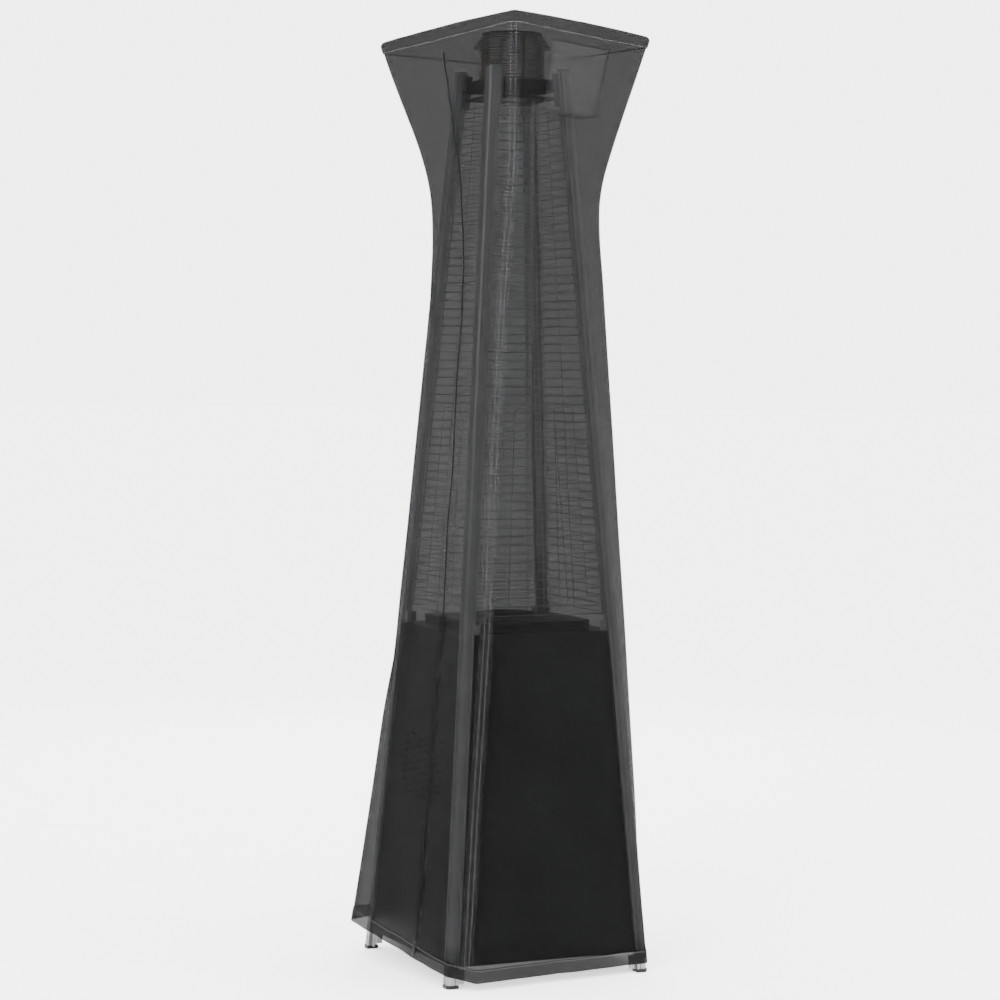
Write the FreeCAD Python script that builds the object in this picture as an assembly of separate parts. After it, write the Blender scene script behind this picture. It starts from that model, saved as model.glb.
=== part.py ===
import FreeCAD, Part

import math
import os

from FreeCAD import Placement, Rotation, Vector

# Pyramid gas heater with a glass flame tube, under its fitted fabric cover.
# Millimetres, +Z up, origin on the floor at the middle of the four feet, door on the -Y side.

# Frame: four corner posts that lean in from the floor to the top
FLOOR_HALF = 239.4          # post centre to the middle planes, at the floor
TOP_HALF = 89.4             # the same, at the top of the posts
POST_TOP = 2080.0
POST_JOINT = 812.0          # lower and upper posts meet here
FOOT_HEIGHT = 8.0
POST_BODY = 13.0            # half width of the extrusion's main body
POST_NOSE = 10.0            # radius of the outward corner
POST_BORE = 7.0             # half width of the square chamber
POST_FLAT = 8.0             # leg of the chamfer that faces the middle
POST_GROOVE = 3.0
LIP_REACH = 30.0            # how far the panel lips reach from the post centre
GUARD_LIP = 18.5            # the same reach beside the wire guards
LIP_IN, LIP_OUT = 3.0, 6.0  # the lips' inner and outer faces

# Sheet metal
SHEET = 1.2
PANEL_LOW, PANEL_HIGH = 46.0, 788.0
PANEL_EDGE = 14.5           # panel edge inside the post centres
RETURN = 10.0
TRAY_FLOOR, TRAY_WALL, TRAY_HALF = 46.0, 16.0, 229.0
DECK_FLANGE, DECK_TOP = 786.0, 810.0
DECK_LIP = 18.0
DECK_HALF, DECK_BOX_HALF = 177.0, 153.0
PLATE = 1.5

# Door at the front, hinged along its foot
DOOR_GAP = 0.5
HINGE_Z = 51.0
HINGE_X = 150.0
PIN_R = 3.0
LUG_R = 5.0
KNOB_Z = 755.0
SPINDLE_R = 4.0

# Controls on the back panel
CONTROL_Z = 700.0
DISH_DEPTH = 20.0
BUTTON_ACROSS = 45.0

# Flame tube and its seats
TUBE_R, TUBE_WALL = 54.0, 3.0
TUBE_LOW, TUBE_HIGH = 814.2, 2040.0
SEAT_R = 62.0

# Top support and slatted flue head
SUPPORT_LOW, SUPPORT_TOP, SUPPORT_HALF = 2030.0, 2055.0, 84.0
SLAT_PITCH, SLAT = 6.0, 1.6
DRUM_APOTHEM, FLARE_APOTHEM, SLAT_BORE = 72.0, 83.0, 62.0
DRUM_SLATS, FLARE_SLATS = 12, 6
HEAD_TOP = 2166.0

# Wire guards
WIRE_R = 1.5
WIRE_SIDES = 4
GUARD_LOW, GUARD_HIGH, GUARD_PITCH = 828.0, 2000.0, 20.0
LOOP_LOW, LOOP_HIGH = 850.0, 1300.0

# Fabric cover: height, half width and turn of its square section, from hem to hood
COVER_STATIONS = ((25, 245, 13.5), (800, 188, 12.6), (1500, 149, 12.4), (1700, 140, 15.0),
                  (1800, 141, 17.3), (1900, 159, 18.3), (2150, 218, 20.0))
COVER_LEAN = (14.0, -7.0)   # how far the cover's middle stands off the heater's at mid height
COVER_SLACK = 17.0          # cover corner outside a post centre
CORNER_SHARE = 0.96         # a post's corner is at most this far along the cover's face
COVER_LEVELS = (25, 200, 400, 600, 800, 1150, 1500, 1600, 1700, 1800, 1850, 1900, 2000, 2080, 2150)
CLOTH = 2.0
HOOD_RISE = 40.0
HEM_BAND = 24.0
ZIP_LOW, ZIP_HIGH = 60.0, 2130.0
ZIP_STOP = 1400.0           # the zip runs straight up to here
ZIP_SHARE = 0.68            # how far across the left face, from the back
ZIP_WIDE = 24.0
ZIP_TAPE_IN, ZIP_TAPE_OUT = 0.8, 1.8
FLAP_LOW, FLAP_HIGH = 1968.0, 2100.0
FLAP_WIDE = 190.0
FLAP_BULGE = 14.0
FLAP_STAND = 3.0

ROUND = 24                  # facets round a small turned piece

TAPER = (FLOOR_HALF - TOP_HALF) / POST_TOP
LEAN = math.atan(TAPER)
SIDES = {"front": 0, "right": 1, "back": 2, "left": 3}
CORNERS = {"front_left": 0, "front_right": 1, "back_right": 2, "back_left": 3}


# --- Shared construction -------------------------------------------------------------------

def half_at(z):
    """Distance from the middle planes to a post centre at height z."""
    return FLOOR_HALF - TAPER * z


def slope(z):
    """Length along the leaning side up to height z."""
    return z / math.cos(LEAN)


def turned(shape, quarter):
    """The same shape, a number of quarter turns about the vertical axis."""
    copy = shape.copy()
    copy.rotate(Vector(), Vector(0, 0, 1), 90 * quarter)
    return copy


def on_side(shape, side):
    """Put a shape drawn flat (X across, Y up the slope, Z outward) on a leaning side."""
    lie = Placement(Vector(0, -FLOOR_HALF, 0), Rotation(Vector(1, 0, 0), 90 - math.degrees(LEAN)))
    spin = Placement(Vector(), Rotation(Vector(0, 0, 1), 90 * side))
    copy = shape.copy()
    copy.Placement = spin.multiply(lie).multiply(copy.Placement)
    return copy


def regular(sides, radius, z=0):
    """Corner points of a regular polygon, the first flat facing -Y."""
    angles = [math.pi * (2 * i + 1) / sides - math.pi / 2 for i in range(sides)]
    return [Vector(radius * math.cos(a), radius * math.sin(a), z) for a in angles]


def closed(points):
    return Part.makePolygon(points + points[:1])


def outline(points, radii=None):
    """Closed wire through points, with an arc where radii gives that corner a radius."""
    radii = radii or {}
    count = len(points)
    vertices = [Vector(*point) for point in points]
    edges = []
    stops = []
    for i, corner in enumerate(vertices):
        radius = radii.get(i, 0)
        if not radius:
            stops.append((corner, None, corner))
            continue
        back = (vertices[i - 1] - corner).normalize()
        ahead = (vertices[(i + 1) % count] - corner).normalize()
        half = math.acos(back.dot(ahead)) / 2
        run = radius / math.tan(half)
        bisector = (back + ahead).normalize()
        middle = corner + bisector * (radius / math.sin(half) - radius)
        stops.append((corner + back * run, middle, corner + ahead * run))
    for i, (start, middle, end) in enumerate(stops):
        if middle is not None:
            edges.append(Part.Arc(start, middle, end).toShape())
        following = stops[(i + 1) % count][0]
        if end.distanceToPoint(following) > 1e-6:
            edges.append(Part.makeLine(end, following))
    return Part.Wire(edges)


def plate(points, low, high, radii=None):
    """Flat plate with the given outline, from low to high."""
    face = Part.Face(outline([(x, y, low) for x, y in points], radii))
    return face.extrude(Vector(0, 0, high - low))


def block(x, y, z):
    """Box from three (low, high) pairs."""
    return Part.makeBox(x[1] - x[0], y[1] - y[0], z[1] - z[0], Vector(x[0], y[0], z[0]))


def rod(radius, start, end):
    """Round bar between two points."""
    run = Vector(*end) - Vector(*start)
    return Part.makeCylinder(radius, run.Length, Vector(*start), run)


def chamfered_square(half, cut):
    """Square of half width half whose corners end where |x| + |y| = cut."""
    near = cut - half
    return [(half, -near), (half, near), (near, half), (-near, half),
            (-half, near), (-half, -near), (-near, -half), (near, -half)]


def octagon(apothem):
    """Corner points of a regular octagon with flats on the axes."""
    return chamfered_square(apothem, apothem * math.sqrt(2))


def corner_cut(z, gap=0.5):
    """The |x| + |y| at which a plate at height z meets the posts' inner flats."""
    return 2 * half_at(z) - 2 * POST_BODY + POST_FLAT - gap


def bar(sides, radius, low, high):
    """Prism on the Z axis with a regular section."""
    return Part.Face(closed(regular(sides, radius, low))).extrude(Vector(0, 0, high - low))


def facets(rings):
    """Flat faces that join neighbouring closed loops of equal point count."""
    faces = []
    for lower, upper in zip(rings, rings[1:]):
        for i in range(len(lower)):
            a, b, c, d = lower[i - 1], lower[i], upper[i], upper[i - 1]
            faces.append(Part.Face(Part.makePolygon([a, b, c, a])))
            faces.append(Part.Face(Part.makePolygon([a, c, d, a])))
    return faces


def sewn(faces):
    """Solid bounded by faces whose edges meet."""
    shell = Part.makeShell(faces)
    shell.sewShape()
    return Part.makeSolid(shell)


def hollow_solid(outer, inner):
    """Solid wall between an outer and an inner stack of closed loops."""
    lining = [face.reversed() for face in facets(inner)]
    return sewn(facets(outer) + lining + facets([inner[0], outer[0]]) + facets([outer[-1], inner[-1]]))


def lathed(profile, sides=ROUND):
    """Turned piece from a closed (radius, height) outline that stays off the axis."""
    rings = [regular(sides, radius, z) for radius, z in profile]
    return sewn(facets(rings + rings[:1]))


def bent_wire(points, radius, sides, ends=True):
    """Wire mitred along points in one plane; without ends it closes on itself."""
    count = len(points)
    rings = []
    for i, point in enumerate(points):
        before = point - points[i - 1] if i or not ends else points[1] - point
        after = points[(i + 1) % count] - point if i < count - 1 or not ends else before
        along = (before.normalize() + after.normalize()).normalize()
        turn = Rotation(Vector(0, 0, 1), along)
        stretch = 1 / max(along.dot(after), 0.5)
        rings.append([point + turn.multVec(p) for p in regular(sides, radius * stretch ** 0.5)])
    if not ends:
        return sewn(facets(rings + rings[:1]))
    caps = [Part.Face(closed(rings[0])), Part.Face(closed(rings[-1]))]
    return sewn(facets(rings) + caps)


def write(name, shape):
    shape.exportStep("parts/%s.step" % name)


# --- Corner posts, feet and splices --------------------------------------------------------

def post_profile(reach):
    """Extrusion for the front left corner: rounded nose, grooves, chamber and two lips."""
    body, groove = POST_BODY, POST_GROOVE
    points = [(-body, -body), (groove, -body), (groove, 2 - body), (2 * groove, 2 - body),
              (2 * groove, -body), (body, -body), (body, -LIP_OUT), (reach, -LIP_OUT),
              (reach, -LIP_IN), (body, -LIP_IN), (body, body - POST_FLAT)]
    mirrored = [(y, x) for x, y in reversed(points[1:])]
    wire = outline([(x, y, 0) for x, y in points + mirrored], {0: POST_NOSE})
    bore = POST_BORE
    chamber = Part.makePolygon([Vector(-bore, -bore), Vector(bore, -bore), Vector(bore, bore),
                                Vector(-bore, bore), Vector(-bore, -bore)])
    return Part.Face([wire, chamber])


def along_post(face, low, high):
    """Run a flat section up the front left post's centre line between two heights."""
    section = face.copy()
    section.translate(Vector(-half_at(low), -half_at(low), low))
    rise = high - low
    return section.extrude(Vector(TAPER * rise, TAPER * rise, rise))


def hinge_relief():
    """Room that the door's foot turns through, cut from the lips beside the hinges."""
    half = half_at(HINGE_Z)
    cut = block((half - LIP_REACH - 2, half - POST_BODY), (40, 70), (LIP_IN - 1, LIP_OUT + 1))
    return on_side(cut, SIDES["front"])


def lower_post(quarter):
    post = turned(along_post(post_profile(LIP_REACH), FOOT_HEIGHT, POST_JOINT), quarter)
    if quarter > 1:
        return post
    relief = hinge_relief()
    if quarter == 0:
        relief = relief.mirror(Vector(), Vector(1, 0, 0))
    return post.cut(relief)


def upper_post(quarter):
    return turned(along_post(post_profile(GUARD_LIP), POST_JOINT, POST_TOP), quarter)


def foot(quarter):
    """Moulded foot: rounded pad under the post and a plug up its chamber."""
    half, pad = half_at(0), POST_BODY + 1
    corners = [(-half - pad, -half - pad), (-half + pad, -half - pad),
               (-half + pad, -half + pad), (-half - pad, -half + pad)]
    base = plate(corners, 0, FOOT_HEIGHT, {0: POST_NOSE})
    plug = along_post(square_face(POST_BORE - 0.2), FOOT_HEIGHT, FOOT_HEIGHT + 22)
    return turned(base.fuse(plug).removeSplitter(), quarter)


def square_face(half):
    return Part.Face(Part.makePolygon([Vector(-half, -half), Vector(half, -half), Vector(half, half),
                                       Vector(-half, half), Vector(-half, -half)]))


def post_splices():
    splice = along_post(square_face(POST_BORE - 0.2), POST_JOINT - 70, POST_JOINT + 70)
    return Part.makeCompound([turned(splice, quarter) for quarter in range(4)])


def corner_screws(heights, inset):
    """Hex-headed bolts that enter each post's inner flat along the diagonal."""
    bolts = []
    for z in heights:
        reach = corner_cut(z, 0) / 2 - inset
        bolt = bar(6, 5, 0, 3.5).fuse(bar(4, 2.5, -14, 0)).removeSplitter()
        bolt.Placement = Placement(Vector(-reach, -reach, z),
                                   Rotation(Vector(0, 0, 1), Vector(1, 1, 0)))
        bolts += [turned(bolt, quarter) for quarter in range(4)]
    return Part.makeCompound(bolts)


# --- Base: tray, panels, screws ------------------------------------------------------------

def base_tray():
    """Pressed tray between the posts, with a bead that locates the gas cylinder."""
    cut = corner_cut(TRAY_FLOOR + TRAY_WALL)
    outer = chamfered_square(TRAY_HALF, cut)
    inner = chamfered_square(TRAY_HALF - PLATE, cut - PLATE * math.sqrt(2))
    tray = plate(outer, TRAY_FLOOR, TRAY_FLOOR + TRAY_WALL)
    tray = tray.cut(plate(inner, TRAY_FLOOR + PLATE, TRAY_FLOOR + TRAY_WALL))
    floor = TRAY_FLOOR + PLATE
    bead = lathed([(106, floor), (112, floor), (111, floor + 4), (107, floor + 4)], 16)
    ears = []
    for x in (-HINGE_X, HINGE_X):
        for side in (-1, 1):
            ears.append(hinge_ear(x + side * 7.5))
    return tray.fuse([bead] + ears).removeSplitter()


def hinge_point():
    """Where the door's hinge line crosses the middle plane."""
    return Vector(0, -half_at(HINGE_Z), HINGE_Z)


def hinge_ear(x):
    """Ear on the tray's front wall that holds the hinge pin."""
    line = hinge_point()
    nose, half = line.y - LUG_R, LUG_R / 2
    shape = [Vector(x - 1, y, line.z + z) for y, z in
             ((-TRAY_HALF, -LUG_R), (-TRAY_HALF, LUG_R), (line.y - half, LUG_R), (nose, half),
              (nose, -half), (line.y - half, -LUG_R))]
    ear = Part.Face(closed(shape)).extrude(Vector(2, 0, 0))
    eye = Placement(Vector(x - 1, line.y, line.z), Rotation(Vector(0, 0, 1), Vector(1, 0, 0)))
    hole = bar(8, (PIN_R + 0.05) / math.cos(math.pi / 8), 0, 2)
    hole.Placement = eye
    return ear.cut(hole)


def hinge_pins():
    line = hinge_point()
    pins = [rod(PIN_R, (x - 11, line.y, line.z), (x + 11, line.y, line.z))
            for x in (-HINGE_X, HINGE_X)]
    return Part.makeCompound(pins)


def side_plate(low, high, edge, inner, outer):
    """Sheet on a leaning side, tapering with the posts, between two heights."""
    points = [(edge - half_at(low), slope(low)), (half_at(low) - edge, slope(low)),
              (half_at(high) - edge, slope(high)), (edge - half_at(high), slope(high))]
    return plate(points, inner, outer)


def panel_sheet(seat):
    """Side sheet with its top and bottom edges folded inward."""
    sheet = side_plate(PANEL_LOW, PANEL_HIGH, PANEL_EDGE, seat, seat + SHEET)
    folds = []
    for z, lift in ((PANEL_LOW, 0), (PANEL_HIGH, -SHEET)):
        half = half_at(PANEL_LOW if z == PANEL_LOW else PANEL_HIGH) - LIP_REACH - 4
        up = slope(z) + lift
        folds.append(block((-half, half), (up, up + SHEET), (seat - RETURN, seat)))
    return sheet, folds


def louvred_panel():
    """Side panel with staggered columns of air slots."""
    sheet, folds = panel_sheet(LIP_OUT)
    slots = []
    for column in range(6):
        for row in range(9):
            x = 40 * (column - 2.5)
            y = slope(392) + 17 * row + 8.5 * (column % 2)
            slots.append(block((x - 15, x + 15), (y - 2, y + 2), (LIP_OUT - 1, LIP_OUT + 3)))
    return sheet.cut(Part.makeCompound(slots)).fuse(folds).removeSplitter()


def back_panel():
    """Rear panel with the cut-out for the control dish."""
    sheet, folds = panel_sheet(LIP_OUT)
    opening = block((-36, 74), (slope(CONTROL_Z) - 31, slope(CONTROL_Z) + 31),
                    (LIP_OUT - 1, LIP_OUT + 3))
    return sheet.cut(opening).fuse(folds).removeSplitter()


def panel_screws():
    """Three screws up each edge of the three fixed panels."""
    screws = []
    for side in ("right", "back", "left"):
        for z in (115, 430, 745):
            for hand in (-1, 1):
                x = hand * (half_at(z) - PANEL_EDGE - 8)
                piece = bar(6, 4, 0, 2.4).fuse(bar(4, 2, -7, 0)).removeSplitter()
                piece.translate(Vector(x, slope(z), LIP_OUT + SHEET))
                screws.append(on_side(piece, SIDES[side]))
    return Part.makeCompound(screws)


# --- Door and its latch --------------------------------------------------------------------

def door_panel():
    """Door sheet with a folded head, two stiffeners and the hinge lugs on its foot."""
    seat = LIP_OUT + DOOR_GAP
    sheet, folds = panel_sheet(seat)
    inside = half_at(PANEL_HIGH) - LIP_REACH - 4
    stiffeners = [block((x - SHEET / 2, x + SHEET / 2), (90, slope(PANEL_HIGH)), (seat - RETURN, seat))
                  for x in (-inside, inside)]
    door = sheet.fuse([folds[1]] + stiffeners)
    line, half = slope(HINGE_Z), LUG_R / 2
    for x in (-HINGE_X, HINGE_X):
        shape = [Vector(x - 6, line + up, out) for up, out in
                 ((-half, seat), (LUG_R, seat), (LUG_R, -half), (half, -LUG_R), (-half, -LUG_R),
                  (-LUG_R + 0.5, -half), (-LUG_R + 0.5, half))]
        lug = Part.Face(closed(shape)).extrude(Vector(12, 0, 0))
        door = door.fuse(lug).cut(rod(PIN_R + 0.08, (x - 6, line, 0), (x + 6, line, 0)))
    spindle = rod(SPINDLE_R + 0.08, (0, slope(KNOB_Z), seat - 1), (0, slope(KNOB_Z), seat + 3))
    return on_side(door.cut(spindle).removeSplitter(), SIDES["front"])


def latch_knob():
    """Low round turn-knob with a finger bar, on a spindle through the door."""
    face = LIP_OUT + DOOR_GAP + SHEET + 0.3
    up = slope(KNOB_Z)
    disc = bar(ROUND, 18, face, face + 1.4)
    disc.translate(Vector(0, up, 0))
    grip = block((-13, 13), (up - 3, up + 3), (face, face + 3.2))
    spindle = rod(SPINDLE_R, (0, up, -11.5), (0, up, face))
    return on_side(disc.fuse([grip, spindle]).removeSplitter(), SIDES["front"])


def latch_tongue():
    """Flat tongue on the spindle's inner end; it points sideways when unlatched."""
    up = slope(KNOB_Z)
    points = [(-7, up - 7), (25, up - 5), (25, up + 5), (-7, up + 7)]
    return on_side(plate(points, -13.5, -11.5, {1: 4, 2: 4}), SIDES["front"])


# --- Deck, burner and gas parts ------------------------------------------------------------

def deck():
    """Deck pressing: flange and down-turned lip between the posts, raised box in the middle."""
    cut = corner_cut(DECK_FLANGE)
    lip = DECK_FLANGE - DECK_LIP
    lower = plate(chamfered_square(DECK_HALF, cut), lip, DECK_FLANGE + PLATE)
    lower = lower.cut(plate(chamfered_square(DECK_HALF - PLATE, cut - 2), lip, DECK_FLANGE))
    box_cut = 2 * DECK_BOX_HALF - 26
    upper = plate(chamfered_square(DECK_BOX_HALF, box_cut), DECK_FLANGE, DECK_TOP)
    hollow = plate(chamfered_square(DECK_BOX_HALF - PLATE, box_cut - 2), DECK_FLANGE, DECK_TOP - PLATE)
    mouth = bar(ROUND, 52, DECK_TOP - 10, DECK_TOP + 1)
    return lower.fuse(upper).cut(hollow).cut(mouth).removeSplitter()


def burner_pan():
    """Round pan that hangs in the deck's mouth by its rolled flange."""
    return lathed([(14.5, 766), (51.5, 766), (51.5, DECK_TOP), (60, DECK_TOP), (60, DECK_TOP + 1.2),
                   (50.3, DECK_TOP + 1.2), (50.3, 767.2), (14.5, 767.2)])


def burner_head():
    """Stainless burner: flat drum with a ring of flame slots, open to its mixing stem."""
    body = lathed([(9, 766), (14, 766), (14, 770), (34, 770), (38, 776), (38, 790), (34, 794),
                   (2, 794), (2, 792), (31, 792), (31, 773), (9, 773)], 16)
    slot = block((30, 40), (-1.5, 1.5), (779, 787))
    slots = []
    for i in range(8):
        piece = slot.copy()
        piece.rotate(Vector(), Vector(0, 0, 1), 45 * i)
        slots.append(piece)
    return body.cut(Part.makeCompound(slots))


def mixing_tube():
    """Venturi under the burner with two air ports."""
    tube = lathed([(11, 716), (13, 716), (13, 765.8), (11, 765.8), (8, 750), (8, 740)], ROUND // 2)
    return tube.cut(block((-20, 20), (-3, 3), (722, 736)))


def valve_centre():
    """Distance up the back panel's slope and outward of the valve's front face."""
    return slope(CONTROL_Z), -42.0


def gas_valve():
    """Cast valve body with its spindle boss, drawn on the back side."""
    up, front = valve_centre()
    body = plate([(-17, up - 20), (17, up - 20), (17, up + 20), (-17, up + 20)], front - 34, front - 6,
                 {i: 6 for i in range(4)})
    boss = bar(ROUND // 2, 10, front - 6, front)
    boss.translate(Vector(0, up, 0))
    bore = rod(SPINDLE_R + 0.08, (0, up, front - 12), (0, up, front))
    return on_side(body.fuse(boss).cut(bore).removeSplitter(), SIDES["back"])


def feed_pipe():
    """Bent pipe from the valve to the jet under the mixing tube."""
    far, near, height = valve_rear(), 12.0, CONTROL_Z
    bend = [Vector(0, near * (1 - math.sin(a)), height + near * (1 - math.cos(a)))
            for a in (0, math.pi / 8, math.pi / 4, 3 * math.pi / 8, math.pi / 2)]
    return bent_wire([Vector(0, far, height)] + bend + [Vector(0, 0, height + near + 3)], 4, 12)


def valve_rear():
    """Where the pipe starts, just off the valve's rear face."""
    return half_at(CONTROL_Z) + valve_centre()[1] - 34 - 0.6


def gas_inlet():
    """Brass inlet nipple that points down from the valve."""
    y = half_at(CONTROL_Z) - 62
    nut = bar(6, 9, 660, 674.3)
    nipple = Part.makeCylinder(5, 20, Vector(0, 0, 640))
    fitting = nut.fuse(nipple)
    fitting.translate(Vector(0, y, 0))
    return fitting


def pilot():
    """Pilot bracket with its burner tip, spark electrode and thermocouple, in the pan."""
    foot_plate = block((-10, 10), (40.5, 48), (767.2, 768.7))
    upright = block((-10, 10), (46.5, 48), (768.7, 792))
    tips = []
    for x, top in ((-6, 806), (0, 800), (6, 809)):
        tip = bar(6, 2, 768.7, top)
        tip.translate(Vector(x, 43.8, 0))
        tips.append(tip)
    return foot_plate.fuse([upright] + tips).removeSplitter()


def tilt_switch():
    """Anti-tilt cut-off hung under the deck."""
    case = block((-17, 17), (-11, 11), (748, DECK_TOP - PLATE))
    switch = case.fuse(bar(6, 5, 740, 748))
    switch.translate(Vector(87, 71, 0))
    return switch


# --- Controls ------------------------------------------------------------------------------

def control_dish():
    """Recessed dish for the controls, its flange lying on the back panel."""
    up, face = slope(CONTROL_Z), LIP_OUT + SHEET
    floor = face - DISH_DEPTH
    flange = plate([(-42, up - 37), (80, up - 37), (80, up + 37), (-42, up + 37)], face, face + SHEET,
                   {i: 6 for i in range(4)})
    cup = block((-35.5, 73.5), (up - 30.5, up + 30.5), (floor, face))
    hollow = block((-34.3, 72.3), (up - 29.3, up + 29.3), (floor + SHEET, face + SHEET))
    spindle = rod(SPINDLE_R + 0.5, (0, up, floor - 1), (0, up, floor + 2))
    button = bar(ROUND, 8.5, floor - 1, floor + 2)
    button.translate(Vector(BUTTON_ACROSS, up, 0))
    return on_side(flange.fuse(cup).cut(hollow).cut(spindle).cut(button).removeSplitter(),
                   SIDES["back"])


def control_knob():
    """Gas knob: tapered skirt with a grip bar and a blind bore for the spindle."""
    up = slope(CONTROL_Z)
    low = LIP_OUT + SHEET - DISH_DEPTH + SHEET + 0.8
    skirt = lathed([(SPINDLE_R + 0.3, low), (21, low), (18, low + 7), (SPINDLE_R + 0.3, low + 7)])
    grip = plate([(-5, -13), (-2, -17), (2, -17), (5, -13), (5, 13), (2, 17), (-2, 17), (-5, 13)],
                 low + 7, low + 17)
    grip = grip.cut(bar(ROUND, SPINDLE_R + 0.3, low + 7, low + 12))
    knob = skirt.fuse(grip).removeSplitter()
    knob.translate(Vector(0, up, 0))
    return on_side(knob, SIDES["back"])


def valve_spindle():
    up, front = valve_centre()
    knob_floor = LIP_OUT + SHEET - DISH_DEPTH + SHEET + 0.8
    return on_side(rod(SPINDLE_R, (0, up, front - 11), (0, up, knob_floor + 11)), SIDES["back"])


def igniter_button():
    """Push button with a domed cap, running in the igniter's barrel."""
    up, face = slope(CONTROL_Z), LIP_OUT + SHEET
    low, high = face - DISH_DEPTH - 12, face - 3
    rings = [regular(ROUND, radius, z) for radius, z in ((8, low), (8, high - 2), (5.5, high))]
    ends = [Part.Face(closed(rings[0])), Part.Face(closed(rings[-1]))]
    button = sewn(facets(rings) + ends)
    button.translate(Vector(BUTTON_ACROSS, up, 0))
    return on_side(button, SIDES["back"])


def igniter_body():
    """Spark igniter behind the dish, with a blind barrel for its button."""
    up, back = slope(CONTROL_Z), LIP_OUT + SHEET - DISH_DEPTH
    body = bar(ROUND, 11, back - 40, back).cut(bar(ROUND, 8.4, back - 20, back))
    body.translate(Vector(BUTTON_ACROSS, up, 0))
    return on_side(body, SIDES["back"])


# --- Flame tube, top support and flue head -------------------------------------------------

def tube_seat():
    """Silicone seat: a foot under the glass and a collar round it."""
    low = DECK_TOP + 1.2
    return lathed([(50.5, low), (SEAT_R, low), (SEAT_R, low + 11), (TUBE_R + 0.8, low + 11),
                   (TUBE_R + 0.8, low + 3), (50.5, low + 3)])


def glass_tube():
    """Borosilicate tube that the flame burns up."""
    tube = rod(TUBE_R, (0, 0, TUBE_LOW), (0, 0, TUBE_HIGH))
    return tube.cut(rod(TUBE_R - TUBE_WALL, (0, 0, TUBE_LOW), (0, 0, TUBE_HIGH)))


def tube_retainer():
    """Thin plate that steadies the tube's top between the brackets."""
    sheet = plate(chamfered_square(SUPPORT_HALF + 1, corner_cut(2016, 4)), 2012, 2016)
    return sheet.cut(bar(2 * ROUND, TUBE_R + 0.8, 2010, 2020))


def top_support():
    """Folded tray that ties the posts together and closes the tube's top."""
    cut = corner_cut(SUPPORT_TOP, 4)
    tray = plate(chamfered_square(SUPPORT_HALF, cut), SUPPORT_LOW, SUPPORT_TOP)
    hollow = plate(chamfered_square(SUPPORT_HALF - PLATE, cut - 2), SUPPORT_LOW, SUPPORT_TOP - PLATE)
    mouth = bar(ROUND, 48, SUPPORT_TOP - 10, SUPPORT_TOP + 1)
    return tray.cut(hollow).cut(mouth)


def top_brackets():
    """Four strips on the posts' inner flats that carry the support tray."""
    reach = POST_BODY - POST_FLAT / 2
    strip = Part.Face(Part.makePolygon([Vector(reach - 3.8, reach + 3.8), Vector(reach + 3.8, reach - 3.8),
                                        Vector(reach + 5.4, reach - 2.2), Vector(reach - 2.2, reach + 5.4),
                                        Vector(reach - 3.8, reach + 3.8)]))
    bracket = along_post(strip, 2000, 2074)
    return Part.makeCompound([turned(bracket, quarter) for quarter in range(4)])


def slat(apothem, z):
    """One louvre of the flue head: an octagonal ring that slopes up to its bore."""
    rise = 2.4

    def loop(size, level):
        return [Vector(x, y, level) for x, y in octagon(size)]

    outer = [loop(SLAT_BORE, z + rise), loop(apothem, z)]
    inner = [loop(SLAT_BORE, z + rise + SLAT), loop(apothem, z + SLAT)]
    return hollow_solid(outer, inner)


def flue_screen():
    """Slatted octagonal drum, flaring at its head, on four uprights."""
    slats = []
    base = SUPPORT_TOP + 3
    for i in range(DRUM_SLATS):
        slats.append(slat(DRUM_APOTHEM, base + SLAT_PITCH * i))
    flare = base + SLAT_PITCH * DRUM_SLATS
    for i in range(FLARE_SLATS):
        inset = 0 if i < 2 else 4.5 * (i - 1)
        slats.append(slat(FLARE_APOTHEM - inset, flare + SLAT_PITCH * i))
    return Part.makeCompound(slats)


def flue_uprights():
    """Strips inside the slats and round studs that carry the flare."""
    strip = block((SLAT_BORE - 2, SLAT_BORE), (-4, 4), (SUPPORT_TOP, HEAD_TOP - 2))
    flare = SUPPORT_TOP + 3 + SLAT_PITCH * DRUM_SLATS
    stud = bar(6, 2.5, SUPPORT_TOP, flare)
    stud.translate(Vector(DRUM_APOTHEM + 4, 0, 0))
    return Part.makeCompound([turned(piece, quarter) for piece in (strip, stud) for quarter in range(4)])


def flue_cap():
    """Flat octagonal lid of the flue head."""
    return plate(octagon(SLAT_BORE + 2), HEAD_TOP - 2, HEAD_TOP)


# --- Wire guards ---------------------------------------------------------------------------

def wire(start, end):
    """Straight guard wire between two points."""
    run = Vector(*end) - Vector(*start)
    piece = bar(WIRE_SIDES, WIRE_R, 0, run.Length)
    piece.Placement = Placement(Vector(*start), Rotation(Vector(0, 0, 1), run))
    return piece


def guard_loop():
    """Rounded wire loop that stiffens the guard's lower part."""
    depth = -6 * WIRE_R * math.cos(math.pi / WIRE_SIDES)
    low, high = 0.46 * (half_at(LOOP_LOW) - POST_BODY), 0.37 * (half_at(LOOP_HIGH) - POST_BODY)
    bottom, top, turn = slope(LOOP_LOW), slope(LOOP_HIGH), 12
    points = []
    for x, y, quarter in ((low, bottom, 3), (high, top, 0), (-high, top, 1), (-low, bottom, 2)):
        centre = Vector(math.copysign(abs(x) - turn, x), y + (turn if y == bottom else -turn), depth)
        for step in (0, 1, 2):
            angle = math.radians(90 * quarter + 45 * step)
            points.append(centre + Vector(turn * math.cos(angle), turn * math.sin(angle), 0))
    return bent_wire(points, WIRE_R, WIRE_SIDES, False)


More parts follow.
